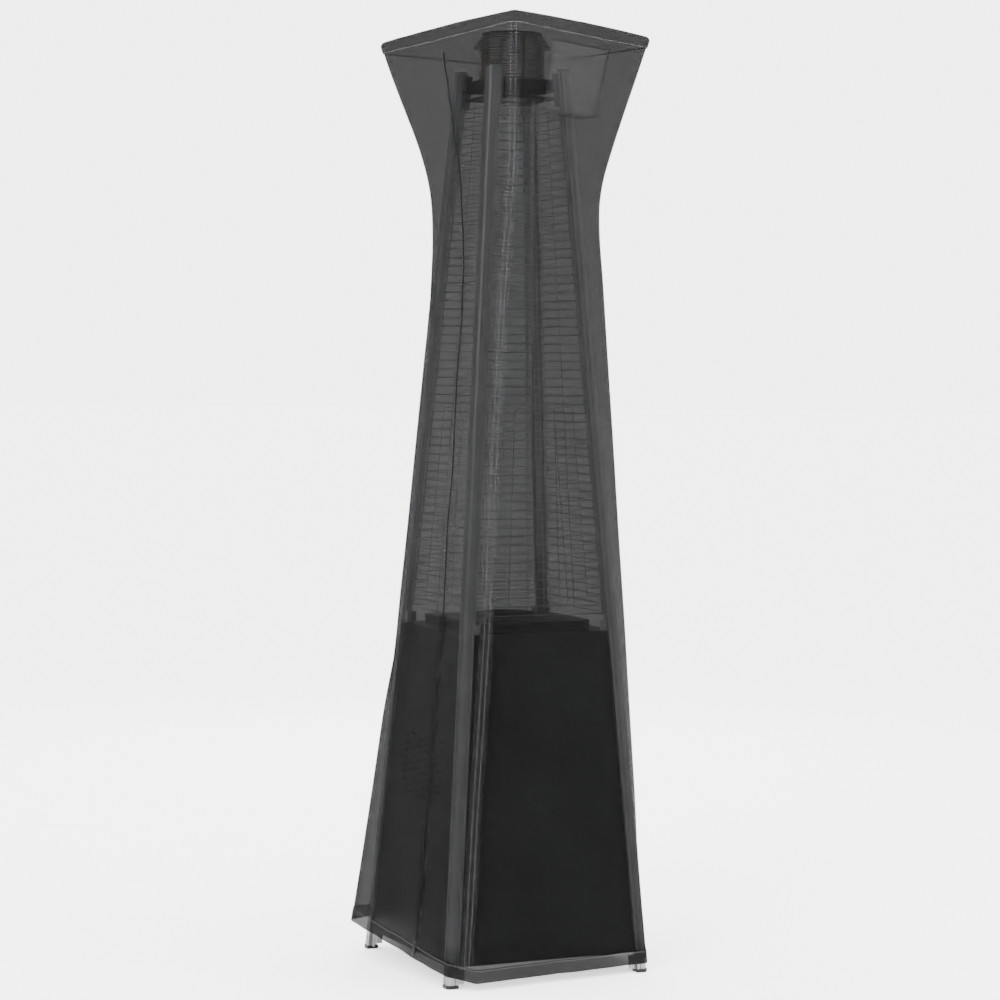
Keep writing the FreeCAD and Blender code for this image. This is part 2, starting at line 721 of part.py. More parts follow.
def guard(side):
    """Guard grille: cross wires on two side wires and a middle wire, and a loop behind."""
    deep = 2 * WIRE_R * math.cos(math.pi / WIRE_SIDES)
    pieces = []
    count = int((GUARD_HIGH - GUARD_LOW) / GUARD_PITCH) + 1
    for i in range(count):
        z = GUARD_LOW + GUARD_PITCH * i
        reach = half_at(z) - POST_BODY - 2
        pieces.append(wire((-reach, slope(z), 0), (reach, slope(z), 0)))
    low, high = GUARD_LOW - 4, GUARD_LOW + GUARD_PITCH * (count - 1) + 4
    for share in (-1, 0, 1):
        start = share * (half_at(low) - POST_BODY - 5)
        end = share * (half_at(high) - POST_BODY - 5)
        pieces.append(wire((start, slope(low), -deep), (end, slope(high), -deep)))
    pieces.append(guard_loop())
    return on_side(Part.makeCompound(pieces), side)


# --- Fabric cover --------------------------------------------------------------------------

def cover_square(z, grow=0):
    """Corner points of the cover's turned square at height z."""
    for (z0, half0, turn0), (z1, half1, turn1) in zip(COVER_STATIONS, COVER_STATIONS[1:]):
        if z <= z1:
            break
    share = (z - z0) / (z1 - z0)
    half = half0 + (half1 - half0) * share + grow
    turn = turn0 + (turn1 - turn0) * share
    swing = math.sin(math.pi * min(max((z - 400) / 2000, 0), 1))
    points = []
    for i in range(4):
        angle = math.radians(225 + 90 * i + turn)
        points.append(Vector(half * math.sqrt(2) * math.cos(angle) + COVER_LEAN[0] * swing,
                             half * math.sqrt(2) * math.sin(angle) + COVER_LEAN[1] * swing, z))
    return points


def cover_section(z):
    """Section of the cloth: the turned square, pushed out where it passes over a post."""
    square = cover_square(z)
    post = half_at(min(z, POST_TOP)) + COVER_SLACK
    points = []
    for i in range(4):
        angle = math.radians(225 + 90 * i)
        corner = Vector(post * math.sqrt(2) * math.cos(angle), post * math.sqrt(2) * math.sin(angle), z)
        before, after = square[i - 1], square[i]
        along = (after - before).normalize()
        out = along.cross(Vector(0, 0, 1))
        stand = max((corner - before).dot(out), 0.5)
        reach = min((corner - before).dot(along), (after - before).Length * CORNER_SHARE)
        points += [before + along * reach + out * stand, after]
    return points


def grown(points, by):
    """Level loop moved outward by a distance, edge by edge."""
    moved = []
    for i, point in enumerate(points):
        before = (point - points[i - 1]).normalize().cross(Vector(0, 0, 1))
        after = (points[(i + 1) % len(points)] - point).normalize().cross(Vector(0, 0, 1))
        moved.append(point + (before + after) * (by / (1 + before.dot(after))))
    return moved


def sleeve(outside, inside):
    """Open-ended tube that follows the whole cover, between two offsets from its outer face."""
    sections = [cover_section(z) for z in COVER_LEVELS]
    return hollow_solid([grown(section, outside) for section in sections],
                        [grown(section, inside) for section in sections])


def cover_skirt():
    return sleeve(0, -CLOTH)


def cover_hem():
    """Folded band round the skirt's foot."""
    reach = (-2 * FLOOR_HALF, 2 * FLOOR_HALF)
    band = block(reach, reach, (COVER_LEVELS[0], COVER_LEVELS[0] + HEM_BAND))
    return sleeve(CLOTH, 0.3).common(band)


def cover_hood():
    """Top panel of the cover: a shallow pyramid on the hood's rim."""
    rim = COVER_STATIONS[-1][0]
    corners = cover_square(rim, 1)
    middle = (corners[0] + corners[2]) * 0.5

    def pyramid(lift, grow):
        base = [Vector(p.x, p.y, rim + lift) for p in cover_square(rim, grow)]
        peak = Vector(middle.x, middle.y, rim + lift + HOOD_RISE)
        faces = [Part.Face(Part.makePolygon([base[i - 1], base[i], peak, base[i - 1]]))
                 for i in range(4)]
        faces.append(Part.Face(Part.makePolygon(base + [base[0]])))
        return sewn(faces)

    band = plate([(p.x, p.y) for p in corners], rim, rim + 6)
    room = plate([(p.x, p.y) for p in cover_square(rim, 1 - CLOTH)], rim, rim + 6)
    roof = pyramid(6, 1).cut(pyramid(6 - CLOTH, 1 - CLOTH))
    return band.cut(room).fuse(roof).removeSplitter()


def vent_flap():
    """Arched flap over the vent, high on the cover's front."""
    below, above = cover_square(FLAP_LOW), cover_square(FLAP_HIGH)
    left, right = below[0], below[1]
    across = (right - left).normalize()
    rise = (above[0] + above[1] - left - right) * 0.5
    out = across.cross(Vector(rise).normalize())
    middle = (left + right) * 0.5
    half = FLAP_WIDE / 2
    points = []
    for stand in (FLAP_STAND, FLAP_STAND + CLOTH):
        points.append([middle + across * (half * x) + out * (stand + FLAP_BULGE * (1 - x * x))
                       for x in (-1, -0.6, 0, 0.6, 1)])
    return Part.Face(closed(points[0] + points[1][::-1])).extrude(rise)


def zip_place(z):
    """Point on the cloth's facets where the zip runs at height z, with its across and out."""
    low, high = next(pair for pair in zip(COVER_LEVELS, COVER_LEVELS[1:]) if z <= pair[1])
    below, above = cover_section(low), cover_section(high)
    rise = (z - low) / (high - low)
    back = below[7] + (above[7] - below[7]) * rise
    front = below[0] + (above[0] - below[0]) * rise
    fold = below[7] + (above[0] - below[7]) * rise
    if rise < ZIP_SHARE:
        point = fold + (front - fold) * ((ZIP_SHARE - rise) / (1 - rise))
    else:
        point = back + (fold - back) * (ZIP_SHARE / rise)
    across = (front - back).normalize()
    return point, across, across.cross(Vector(0, 0, 1))


def zip_tape():
    """Zip tape sewn down the cover's left side, bent where the cloth is."""
    folds = [low + (high - low) * ZIP_SHARE for low, high in zip(COVER_LEVELS, COVER_LEVELS[1:])]
    bends = sorted(z for z in folds + list(COVER_LEVELS) if ZIP_LOW < z < ZIP_HIGH)
    half = ZIP_WIDE / 2
    loops = []
    for z in [ZIP_LOW] + bends + [ZIP_HIGH]:
        point, across, out = zip_place(z)
        loops.append([point + across * x + out * y for x, y in
                      ((-half, ZIP_TAPE_IN), (half, ZIP_TAPE_IN),
                       (half, ZIP_TAPE_OUT), (-half, ZIP_TAPE_OUT))])
    ends = [Part.Face(closed(loops[0])), Part.Face(closed(loops[-1]))]
    return sewn(facets(loops) + ends)


def zip_slider():
    """Zip slider with its pull tab, at the foot of the zip."""
    start, across, _ = zip_place(ZIP_LOW + 15)
    up = (zip_place(ZIP_STOP)[0] - start).normalize()
    out = across.cross(up)
    body = plate([(-5, -9), (5, -9), (7, 6), (4, 10), (-4, 10), (-7, 6)], 0, 3)
    bridge = block((-2, 2), (-6, 8), (3, 6))
    tab = plate([(-4, -36), (4, -36), (3, 0), (-3, 0)], 4, 5.5)
    slider = body.fuse([bridge, tab]).removeSplitter()
    turn = Rotation(across, up, out, "ZXY")
    slider.Placement = Placement(start + out * (ZIP_TAPE_OUT + 0.5), turn)
    return slider


NODES = {
    "base_tray": base_tray,
    "hinge_pins": hinge_pins,
    "door_panel": door_panel,
    "latch_knob": latch_knob,
    "latch_tongue": latch_tongue,
    "post_splices": post_splices,
    "panel_screws": panel_screws,
    "back_panel": lambda: on_side(back_panel(), SIDES["back"]),
    "left_panel": lambda: on_side(louvred_panel(), SIDES["left"]),
    "right_panel": lambda: on_side(louvred_panel(), SIDES["right"]),
    "deck": deck,
    "burner_pan": burner_pan,
    "burner_head": burner_head,
    "mixing_tube": mixing_tube,
    "gas_valve": gas_valve,
    "feed_pipe": feed_pipe,
    "gas_inlet": gas_inlet,
    "pilot": pilot,
    "tilt_switch": tilt_switch,
    "control_dish": control_dish,
    "control_knob": control_knob,
    "valve_spindle": valve_spindle,
    "igniter_button": igniter_button,
    "igniter_body": igniter_body,
    "tube_seat": tube_seat,
    "glass_tube": glass_tube,
    "tube_retainer": tube_retainer,
    "top_support": top_support,
    "top_brackets": top_brackets,
    "flue_screen": flue_screen,
    "flue_uprights": flue_uprights,
    "flue_cap": flue_cap,
    "cover_skirt": cover_skirt,
    "cover_hem": cover_hem,
    "cover_hood": cover_hood,
    "vent_flap": vent_flap,
    "zip_tape": zip_tape,
    "zip_slider": zip_slider,
}

os.makedirs("parts", exist_ok=True)
for name, make in NODES.items():
    write(name, make())
for name, quarter in CORNERS.items():
    write("lower_post_" + name, lower_post(quarter))
    write("upper_post_" + name, upper_post(quarter))
    write("foot_" + name, foot(quarter))
for name, side in SIDES.items():
    write("guard_" + name, guard(side))
write("tray_bolts", corner_screws([54], 1.9))
write("deck_bolts", corner_screws([777], 1.9))
write("support_bolts", corner_screws([2042], 3.9))
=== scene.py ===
import math

import bmesh
import bpy
from mathutils import Matrix, Vector, noise


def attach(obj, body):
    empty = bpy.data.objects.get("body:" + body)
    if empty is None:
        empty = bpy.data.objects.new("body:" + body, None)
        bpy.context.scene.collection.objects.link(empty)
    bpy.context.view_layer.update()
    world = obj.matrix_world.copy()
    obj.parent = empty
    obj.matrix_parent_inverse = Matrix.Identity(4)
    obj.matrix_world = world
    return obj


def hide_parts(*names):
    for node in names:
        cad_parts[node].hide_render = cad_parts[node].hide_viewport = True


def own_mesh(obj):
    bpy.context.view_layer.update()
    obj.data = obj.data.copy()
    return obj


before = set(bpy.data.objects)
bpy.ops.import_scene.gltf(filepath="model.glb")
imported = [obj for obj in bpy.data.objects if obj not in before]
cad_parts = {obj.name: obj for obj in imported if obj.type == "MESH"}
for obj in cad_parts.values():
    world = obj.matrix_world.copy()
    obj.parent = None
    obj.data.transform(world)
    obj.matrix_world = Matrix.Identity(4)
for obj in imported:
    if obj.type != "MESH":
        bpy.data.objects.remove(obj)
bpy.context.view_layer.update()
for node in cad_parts.values():
    node.select_set(False)


# --- Studio -------------------------------------------------------------------
# A pale matt floor that runs into an equally pale surround, one large softbox high on the
# left, a lower one on the right and a narrow one behind.

def linear(hex_colour):
    """sRGB hex to linear RGBA."""
    parts = [int(hex_colour[i:i + 2], 16) / 255 for i in (1, 3, 5)]
    return tuple(c / 12.92 if c <= 0.04045 else ((c + 0.055) / 1.055) ** 2.4 for c in parts) + (1.0,)


def add(tree, kind, links=None, stops=(), **settings):
    """One node. Links map an input to an output, or to a node whose first output is meant.

    Settings are properties or input values by name, and stops are a ramp's places and colours."""
    made = tree.nodes.new("ShaderNode" + kind)
    for name, value in settings.items():
        if hasattr(made, name):
            setattr(made, name, value)
        else:
            made.inputs[name.replace("_", " ")].default_value = value
    for name, source in (links or {}).items():
        socket = made.inputs[name] if isinstance(name, int) else made.inputs[name.replace("_", " ")]
        tree.links.new(source.outputs[0] if isinstance(source, bpy.types.Node) else source, socket)
    for index, (position, colour) in enumerate(stops):
        stop = made.color_ramp.elements[index]
        stop.position, stop.color = position, linear(colour)
    return made


def new_material(name, space="Object"):
    """Empty material; returns it, its node tree and its coordinates in a space."""
    made = bpy.data.materials.new(name)
    made.use_nodes = True
    made.node_tree.nodes.clear()
    return made, made.node_tree, add(made.node_tree, "TexCoord").outputs[space]


SURROUND = 5.0              # how bright the surround is, and the paper's own light with it

surround = bpy.data.worlds.new("surround")
surround.use_nodes = True
surround.node_tree.nodes["Background"].inputs["Color"].default_value = linear("#fbfbfb")
surround.node_tree.nodes["Background"].inputs["Strength"].default_value = SURROUND
bpy.context.scene.world = surround

bpy.ops.mesh.primitive_circle_add(vertices=96, radius=90, fill_type="NGON")
floor = bpy.context.object
floor.name = "floor"
paper, tree, coords = new_material("matt white seamless paper")
fibre = add(tree, "TexNoise", {"Vector": coords}, Scale=3.0, Detail=3.0)
tone = add(tree, "ValToRGB", {0: fibre}, stops=((0, "#e4e4e4"), (1, "#e9e9e9")))
shade = add(tree, "BsdfPrincipled", {"Base_Color": tone}, Roughness=0.9,
            Emission_Color=linear("#ffffff"), Emission_Strength=0.22 * SURROUND)
add(tree, "OutputMaterial", {"Surface": shade})
floor.data.materials.append(paper)


def softbox(name, place, aim, size, power):
    bpy.ops.object.light_add(type="AREA", location=place)
    lamp = bpy.context.object
    lamp.name = name
    lamp.data.shape = "RECTANGLE"
    lamp.data.size, lamp.data.size_y = size
    lamp.data.energy = power
    lamp.visible_transmission = False
    lamp.rotation_euler = (Vector(aim) - Vector(place)).to_track_quat("-Z", "Y").to_euler()


softbox("softbox_left", (-4.2, -3.2, 3.4), (0, 0, 1.1), (2.0, 3.0), 420)
softbox("softbox_right", (4.0, -3.6, 2.2), (0, 0, 1.0), (1.4, 2.6), 200)
softbox("softbox_back", (1.6, 4.2, 3.2), (0, 0, 1.4), (1.2, 2.4), 160)


def new_object(name, data):
    """An object in the scene that holds the data."""
    made = bpy.data.objects.new(name, data)
    bpy.context.scene.collection.objects.link(made)
    return made


camera_data = bpy.data.cameras.new("camera")
camera_data.lens = 101.05
camera_data.sensor_width = 36.0
camera = new_object("camera", camera_data)
camera.rotation_mode = "QUATERNION"
heading, pitch, roll = 0.4302, -0.0472, 0.010
ahead = Vector((math.sin(heading) * math.cos(pitch), math.cos(heading) * math.cos(pitch),
                math.sin(pitch)))
level = Vector((math.cos(heading), -math.sin(heading), 0))
above = level.cross(ahead)
across, upward = (level * math.cos(roll) + above * math.sin(roll),
                  above * math.cos(roll) - level * math.sin(roll))
camera.rotation_quaternion = Matrix((across, upward, -ahead)).transposed().to_quaternion()
camera.location = (-2.7506, -5.9513, 1.3926)
camera_data.clip_end = 300
bpy.context.scene.camera = camera


# --- Feet ---------------------------------------------------------------------
# Moulded polypropylene pads that plug into the foot of each post. Injection moulded black, so
# a soft sheen with a fine spark texture, scuffed grey in patches.

moulded, tree, coords = new_material("black moulded polypropylene")
spark = add(tree, "TexNoise", {"Vector": coords}, Scale=900.0, Detail=2.0)
scuff = add(tree, "TexNoise", {"Vector": coords}, Scale=120.0, Detail=4.0)
tone = add(tree, "ValToRGB", {0: scuff}, stops=((0.45, "#080808"), (0.75, "#121211")))
grain = add(tree, "Bump", {"Height": spark}, Strength=0.25, Distance=0.0003)
shade = add(tree, "BsdfPrincipled", {"Base_Color": tone, "Normal": grain}, Roughness=0.5,
            Specular_IOR_Level=0.2)
add(tree, "OutputMaterial", {"Surface": shade})


def finish_nodes(material, *names):
    """Gives CAD nodes their finish."""
    for name in names:
        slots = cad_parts[name].data.materials
        for i in range(len(slots)):
            slots[i] = material


CORNERS = ("front_left", "front_right", "back_right", "back_left")
finish_nodes(moulded, *["foot_" + corner for corner in CORNERS])


# --- Corner posts -------------------------------------------------------------
# Eight lengths of 6063 aluminium extrusion with a rounded nose and two grooves on each face,
# satin anodised. Die lines run along the length and the finish is a soft grey metal, blended
# to a dark grey towards the foot over the last few centimetres above the ground.

anodised, tree, coords = new_material("satin anodised aluminium extrusion")
drawn = add(tree, "Mapping", {"Vector": coords}, Scale=(420, 420, 3))
die_lines = add(tree, "TexNoise", {"Vector": drawn}, Scale=1.0, Detail=3.0)
handling = add(tree, "TexNoise", {"Vector": coords}, Scale=14.0, Detail=5.0)
tone = add(tree, "ValToRGB", {0: handling}, stops=((0.35, "#d2d3d4"), (0.7, "#e0e1e2")))
height = add(tree, "SeparateXYZ", {"Vector": coords})
# The colour is blended to a dark grey over the last few centimetres above the ground.
darker_towards_foot = add(tree, "MapRange", {"Value": height.outputs["Z"]}, From_Min=0.03, From_Max=0.10,
             To_Min=0.22, To_Max=1.0)
foot_darkened = add(tree, "Mix", {"Factor": darker_towards_foot, 7: tone}, data_type="RGBA")
foot_darkened.inputs[6].default_value = linear("#2b2b2a")
rough = add(tree, "MapRange", {"Value": die_lines}, To_Min=0.28, To_Max=0.46)
grain = add(tree, "Bump", {"Height": die_lines}, Strength=0.2, Distance=0.0002)
shade = add(tree, "BsdfPrincipled", {"Base_Color": foot_darkened.outputs[2], "Roughness": rough,
            "Normal": grain}, Metallic=1.0)
add(tree, "OutputMaterial", {"Surface": shade})
finish_nodes(anodised, "post_splices", *["lower_post_" + corner for corner in CORNERS],
             *["upper_post_" + corner for corner in CORNERS])


# --- Bolts and screws ---------------------------------------------------------
# Pressed and turned steel parts with a bright zinc plate: hexagon bolts through the posts and
# small screws along the panels. The plate is blue-white, with faint spangles and handling marks.

zinc, tree, coords = new_material("bright zinc plated steel")
spangle = add(tree, "TexVoronoi", {"Vector": coords}, Scale=450.0)
marks = add(tree, "TexNoise", {"Vector": coords}, Scale=90.0, Detail=4.0)
tone = add(tree, "ValToRGB", {0: spangle}, stops=((0, "#a9adb2"), (1, "#c3c6ca")))
rough = add(tree, "MapRange", {"Value": marks}, To_Min=0.22, To_Max=0.42)
shade = add(tree, "BsdfPrincipled", {"Base_Color": tone, "Roughness": rough}, Metallic=1.0)
add(tree, "OutputMaterial", {"Surface": shade})
finish_nodes(zinc, "tray_bolts", "deck_bolts", "support_bolts", "panel_screws", "hinge_pins",
             "latch_tongue", "valve_spindle")


# --- Tray, panels, door and deck ----------------------------------------------
# Pressed from 1.2 mm steel sheet and powder coated black. The cured coat has a fine orange
# peel about a millimetre across, a low sheen, and dust and rub marks that vary it slowly.

coated, tree, coords = new_material("black polyester powder coat")
peel = add(tree, "TexNoise", {"Vector": coords}, Scale=900.0, Detail=2.0)
dust = add(tree, "TexNoise", {"Vector": coords}, Scale=6.0, Detail=6.0, Roughness=0.6)
tone = add(tree, "ValToRGB", {0: dust}, stops=((0.3, "#09090a"), (0.75, "#0f0f10")))
rough = add(tree, "MapRange", {"Value": dust}, To_Min=0.42, To_Max=0.58)
grain = add(tree, "Bump", {"Height": peel}, Strength=0.3, Distance=0.0004)
shade = add(tree, "BsdfPrincipled", {"Base_Color": tone, "Roughness": rough, "Normal": grain},
            IOR=1.5)
add(tree, "OutputMaterial", {"Surface": shade})
finish_nodes(coated, "base_tray", "door_panel", "left_panel", "right_panel", "back_panel", "deck",
             "top_support", "tube_retainer", "control_dish", "flue_cap")


# --- Latch knob ---------------------------------------------------------------
# Die cast turn knob on the door, electrocoated black over the cast skin, so it is a little
# smoother and glossier than the sheet round it and shows soft swirls from the tumbling drum.

cast_black, tree, coords = new_material("black electrocoated die casting")
swirl = add(tree, "TexNoise", {"Vector": coords}, Scale=220.0, Detail=3.0, Distortion=1.5)
tone = add(tree, "ValToRGB", {0: swirl}, stops=((0, "#1f1f20"), (1, "#353536")))
grain = add(tree, "Bump", {"Height": swirl}, Strength=0.15, Distance=0.0002)
shade = add(tree, "BsdfPrincipled", {"Base_Color": tone, "Normal": grain}, Roughness=0.34, IOR=1.5)
add(tree, "OutputMaterial", {"Surface": shade})
finish_nodes(cast_black, "latch_knob")


# --- Burner, pilot and flue head ----------------------------------------------
# Pressed and rolled stainless steel: burner pan and slotted head, mixing tube, pilot hood, and
# the slatted flue head over the flame tube. Brushed along the slats, straw and grey from heat.

brushed, tree, coords = new_material("brushed heat-tinted stainless steel")
strokes = add(tree, "Mapping", {"Vector": coords}, Scale=(30, 30, 1400))
lines = add(tree, "TexNoise", {"Vector": strokes}, Scale=1.0, Detail=4.0)
heat = add(tree, "TexNoise", {"Vector": coords}, Scale=11.0, Detail=2.0)
tone = add(tree, "ValToRGB", {0: heat}, stops=((0.35, "#a3a19f"), (0.68, "#bbb6af")))
rough = add(tree, "MapRange", {"Value": lines}, To_Min=0.26, To_Max=0.5)
grain = add(tree, "Bump", {"Height": lines}, Strength=0.2, Distance=0.0002)
shade = add(tree, "BsdfPrincipled", {"Base_Color": tone, "Roughness": rough, "Normal": grain},
            Metallic=1.0)
add(tree, "OutputMaterial", {"Surface": shade})
finish_nodes(brushed, "burner_pan", "burner_head", "mixing_tube", "pilot", "flue_screen",
             "flue_uprights")


# --- Gas valve and feed pipe --------------------------------------------------
# The valve body is pressure die cast aluminium with a matt, slightly mottled skin, and the pipe
# to the burner is drawn aluminium with fine lines along it.

as_cast, tree, coords = new_material("as-cast aluminium")
skin = add(tree, "TexNoise", {"Vector": coords}, Scale=380.0, Detail=5.0)
tone = add(tree, "ValToRGB", {0: skin}, stops=((0, "#8f9193"), (1, "#b9bbbd")))
grain = add(tree, "Bump", {"Height": skin}, Strength=0.4, Distance=0.0004)
shade = add(tree, "BsdfPrincipled", {"Base_Color": tone, "Normal": grain}, Roughness=0.52,
            Metallic=1.0)
add(tree, "OutputMaterial", {"Surface": shade})
finish_nodes(as_cast, "gas_valve")

drawn_pipe, tree, coords = new_material("drawn aluminium pipe")
streak = add(tree, "TexNoise", {"Vector": coords}, Scale=600.0, Detail=2.0)
tone = add(tree, "ValToRGB", {0: streak}, stops=((0, "#b2b3b4"), (1, "#cbcccd")))
shade = add(tree, "BsdfPrincipled", {"Base_Color": tone}, Roughness=0.3, Metallic=1.0)
add(tree, "OutputMaterial", {"Surface": shade})
finish_nodes(drawn_pipe, "feed_pipe")


# --- Gas inlet ----------------------------------------------------------------
# Hexagon nut and threaded nipple turned from brass bar. Turning leaves rings round the axis and
# the bare metal has dulled to a soft yellow brown.

brass, tree, coords = new_material("turned brass")
patina = add(tree, "TexNoise", {"Vector": coords}, Scale=160.0, Detail=4.0)
tone = add(tree, "ValToRGB", {0: patina}, stops=((0.3, "#9c7a3c"), (0.7, "#cfae68")))
rough = add(tree, "MapRange", {"Value": patina}, To_Min=0.22, To_Max=0.4)
shade = add(tree, "BsdfPrincipled", {"Base_Color": tone, "Roughness": rough}, Metallic=1.0)
add(tree, "OutputMaterial", {"Surface": shade})
finish_nodes(brass, "gas_inlet")


# --- Control knob, igniter and tilt switch ------------------------------------
# Moulded nylon: the black knob, igniter body and tilt switch housing have a fine spark finish,
# and the igniter's push button is a polished dark red.

nylon, tree, coords = new_material("black moulded nylon")
spark = add(tree, "TexNoise", {"Vector": coords}, Scale=1100.0, Detail=2.0)
tone = add(tree, "ValToRGB", {0: spark}, stops=((0, "#19191a"), (1, "#242425")))
grain = add(tree, "Bump", {"Height": spark}, Strength=0.2, Distance=0.0002)
shade = add(tree, "BsdfPrincipled", {"Base_Color": tone, "Normal": grain}, Roughness=0.38, IOR=1.53)
add(tree, "OutputMaterial", {"Surface": shade})
finish_nodes(nylon, "control_knob", "igniter_body", "tilt_switch")

polished_red, tree, coords = new_material("polished dark red ABS")
pigment = add(tree, "TexNoise", {"Vector": coords}, Scale=240.0, Detail=2.0)
tone = add(tree, "ValToRGB", {0: pigment}, stops=((0, "#7c1512"), (1, "#8f1c17")))
shade = add(tree, "BsdfPrincipled", {"Base_Color": tone}, Roughness=0.18, IOR=1.54, Coat_Weight=0.3)
add(tree, "OutputMaterial", {"Surface": shade})
finish_nodes(polished_red, "igniter_button")


# --- Tube seat ----------------------------------------------------------------
# Moulded high-temperature silicone ring that the flame tube stands in. Matt, with a bloom of
# fine dust that lightens it in patches.

silicone, tree, coords = new_material("black silicone rubber")
bloom = add(tree, "TexNoise", {"Vector": coords}, Scale=70.0, Detail=5.0)
tone = add(tree, "ValToRGB", {0: bloom}, stops=((0, "#1c1c1c"), (1, "#303030")))
shade = add(tree, "BsdfPrincipled", {"Base_Color": tone}, Roughness=0.72, IOR=1.42)
add(tree, "OutputMaterial", {"Surface": shade})
finish_nodes(silicone, "tube_seat")


# --- Flame tube ---------------------------------------------------------------
# Borosilicate glass tube, 108 mm across with a 3 mm wall, drawn and cut. Clear and polished,
# with a faint haze of combustion film that shifts its gloss up the length.

borosilicate, tree, coords = new_material("clear borosilicate glass")
film = add(tree, "TexNoise", {"Vector": coords}, Scale=8.0, Detail=4.0)
rough = add(tree, "MapRange", {"Value": film}, To_Min=0.0, To_Max=0.06)
shade = add(tree, "BsdfPrincipled", {"Roughness": rough}, Base_Color=linear("#fdfefe"), IOR=1.47,
            Transmission_Weight=1.0)
add(tree, "OutputMaterial", {"Surface": shade})
finish_nodes(borosilicate, "glass_tube")


# --- Wire guards --------------------------------------------------------------
# Four grilles of 2 mm steel wire with a satin grey plate: cross wires every 20 mm welded on two
# edge wires and a middle wire, and a rounded loop behind that stiffens the lower half.

plated_wire, tree, coords = new_material("satin nickel plated steel wire")
stain = add(tree, "TexNoise", {"Vector": coords}, Scale=45.0, Detail=4.0)
tone = add(tree, "ValToRGB", {0: stain}, stops=((0.35, "#c2c3c5"), (0.7, "#d4d5d7")))
rough = add(tree, "MapRange", {"Value": stain}, To_Min=0.25, To_Max=0.42)
shade = add(tree, "BsdfPrincipled", {"Base_Color": tone, "Roughness": rough}, Metallic=1.0)
add(tree, "OutputMaterial", {"Surface": shade})

POST_AT_FLOOR, POST_HEAD, POST_BODY = 0.2394, 2.08, 0.013
TAPER = 0.15 / POST_HEAD
LEAN = math.atan(TAPER)
WIRE_RADIUS, WIRE_PITCH = 0.0010, 0.020
LOWEST_WIRE, WIRE_ROWS = 0.828, 59
WIRE_SHORT, EDGE_INSET, OVERHANG = 0.002, 0.005, 0.004     # what the wires leave at their ends
LOOP_LOW, LOOP_HIGH, LOOP_TURN = 0.850, 1.300, 0.012
LOOP_SHARE_LOW, LOOP_SHARE_HIGH = 0.46, 0.37               # of the half bay
BEHIND = 0.00140            # the upright wires lie behind the cross wires, bedded in the welds


def post_line(z):
    """Distance from the middle planes to a post's centre at height z."""
    return POST_AT_FLOOR - TAPER * z


def smooth(degrees):
    """Shades the selected pieces smooth, but for edges sharper than an angle."""
    bpy.ops.object.shade_smooth_by_angle(angle=math.radians(degrees))


def pick(*things):
    """Selects these and nothing else, the first of them active."""
    for thing in list(bpy.context.selected_objects):
        thing.select_set(False)
    for thing in things:
        thing.select_set(True)
    bpy.context.view_layer.objects.active = things[0]


def twin(thing):
    """A copy of an object with its own mesh."""
    other = thing.copy()
    other.data = thing.data.copy()
    bpy.context.scene.collection.objects.link(other)
    return other


def settle(piece):
    """Puts an object's place, turn and scale into its mesh."""
    pick(piece)
    bpy.ops.object.transform_apply(location=True, rotation=True, scale=True)


def join(name, parts):
    """Joins finished parts into one piece."""
    pick(*parts)
    bpy.ops.object.join()
    parts[0].name = parts[0].data.name = name
    return parts[0]


bpy.ops.mesh.primitive_cylinder_add(vertices=10, radius=WIRE_RADIUS, depth=1.0,
                                    rotation=(0, math.pi / 2, 0))
first = bpy.context.object
settle(first)
bpy.ops.object.mode_set(mode="EDIT")
edges = bmesh.from_edit_mesh(first.data)
for edge in edges.edges:
    edge.select = all(abs(abs(v.co.x) - 0.5) < 1e-4 for v in edge.verts)
bpy.ops.mesh.bevel(offset=0.0004, segments=1)
bpy.ops.object.mode_set(mode="OBJECT")

wires = []
for row in range(WIRE_ROWS):
    z = LOWEST_WIRE + WIRE_PITCH * row
    reach = post_line(z) - POST_BODY - WIRE_SHORT
    cross = twin(first)
    for v in cross.data.vertices:
        v.co.x += (reach - 0.5) * math.copysign(1, v.co.x)
    cross.location = (0, z / math.cos(LEAN), 0)
    settle(cross)
    wires.append(cross)
low, high = LOWEST_WIRE - OVERHANG, LOWEST_WIRE + WIRE_PITCH * (WIRE_ROWS - 1) + OVERHANG
for share in (-1, 0, 1):
    foot_x = share * (post_line(low) - POST_BODY - EDGE_INSET)
    head_x = share * (post_line(high) - POST_BODY - EDGE_INSET)
    run = Vector((head_x - foot_x, (high - low) / math.cos(LEAN), 0))
    upright = twin(first)
    for v in upright.data.vertices:
        v.co.x += (run.length / 2 - 0.5) * math.copysign(1, v.co.x)
    upright.rotation_euler = (0, 0, math.atan2(run.y, run.x))
    upright.location = Vector((foot_x, low / math.cos(LEAN), -2 * BEHIND)) + run / 2
    settle(upright)
    wires.append(upright)
bpy.data.objects.remove(first)

bpy.ops.mesh.primitive_plane_add(size=1.0, location=(0, 0, 0))
loop = bpy.context.object
for v in loop.data.vertices:
    at, share = (LOOP_HIGH, LOOP_SHARE_HIGH) if v.co.y > 0 else (LOOP_LOW, LOOP_SHARE_LOW)
    v.co = (math.copysign(share * (post_line(at) - POST_BODY), v.co.x), at / math.cos(LEAN), 0)
bpy.ops.object.mode_set(mode="EDIT")
bpy.ops.mesh.select_all(action="SELECT")
bpy.ops.mesh.bevel(offset=LOOP_TURN, segments=5, affect="VERTICES")
bpy.ops.mesh.select_all(action="SELECT")
bpy.ops.mesh.delete(type="ONLY_FACE")
bpy.ops.object.mode_set(mode="OBJECT")
bpy.ops.object.convert(target="CURVE")
loop = bpy.context.object
loop.data.bevel_depth = WIRE_RADIUS
loop.data.bevel_resolution = 2
bpy.ops.object.convert(target="MESH")
loop = bpy.context.object
loop.location = (0, 0, -3 * WIRE_RADIUS - 0.0009)
settle(loop)
wires.append(loop)

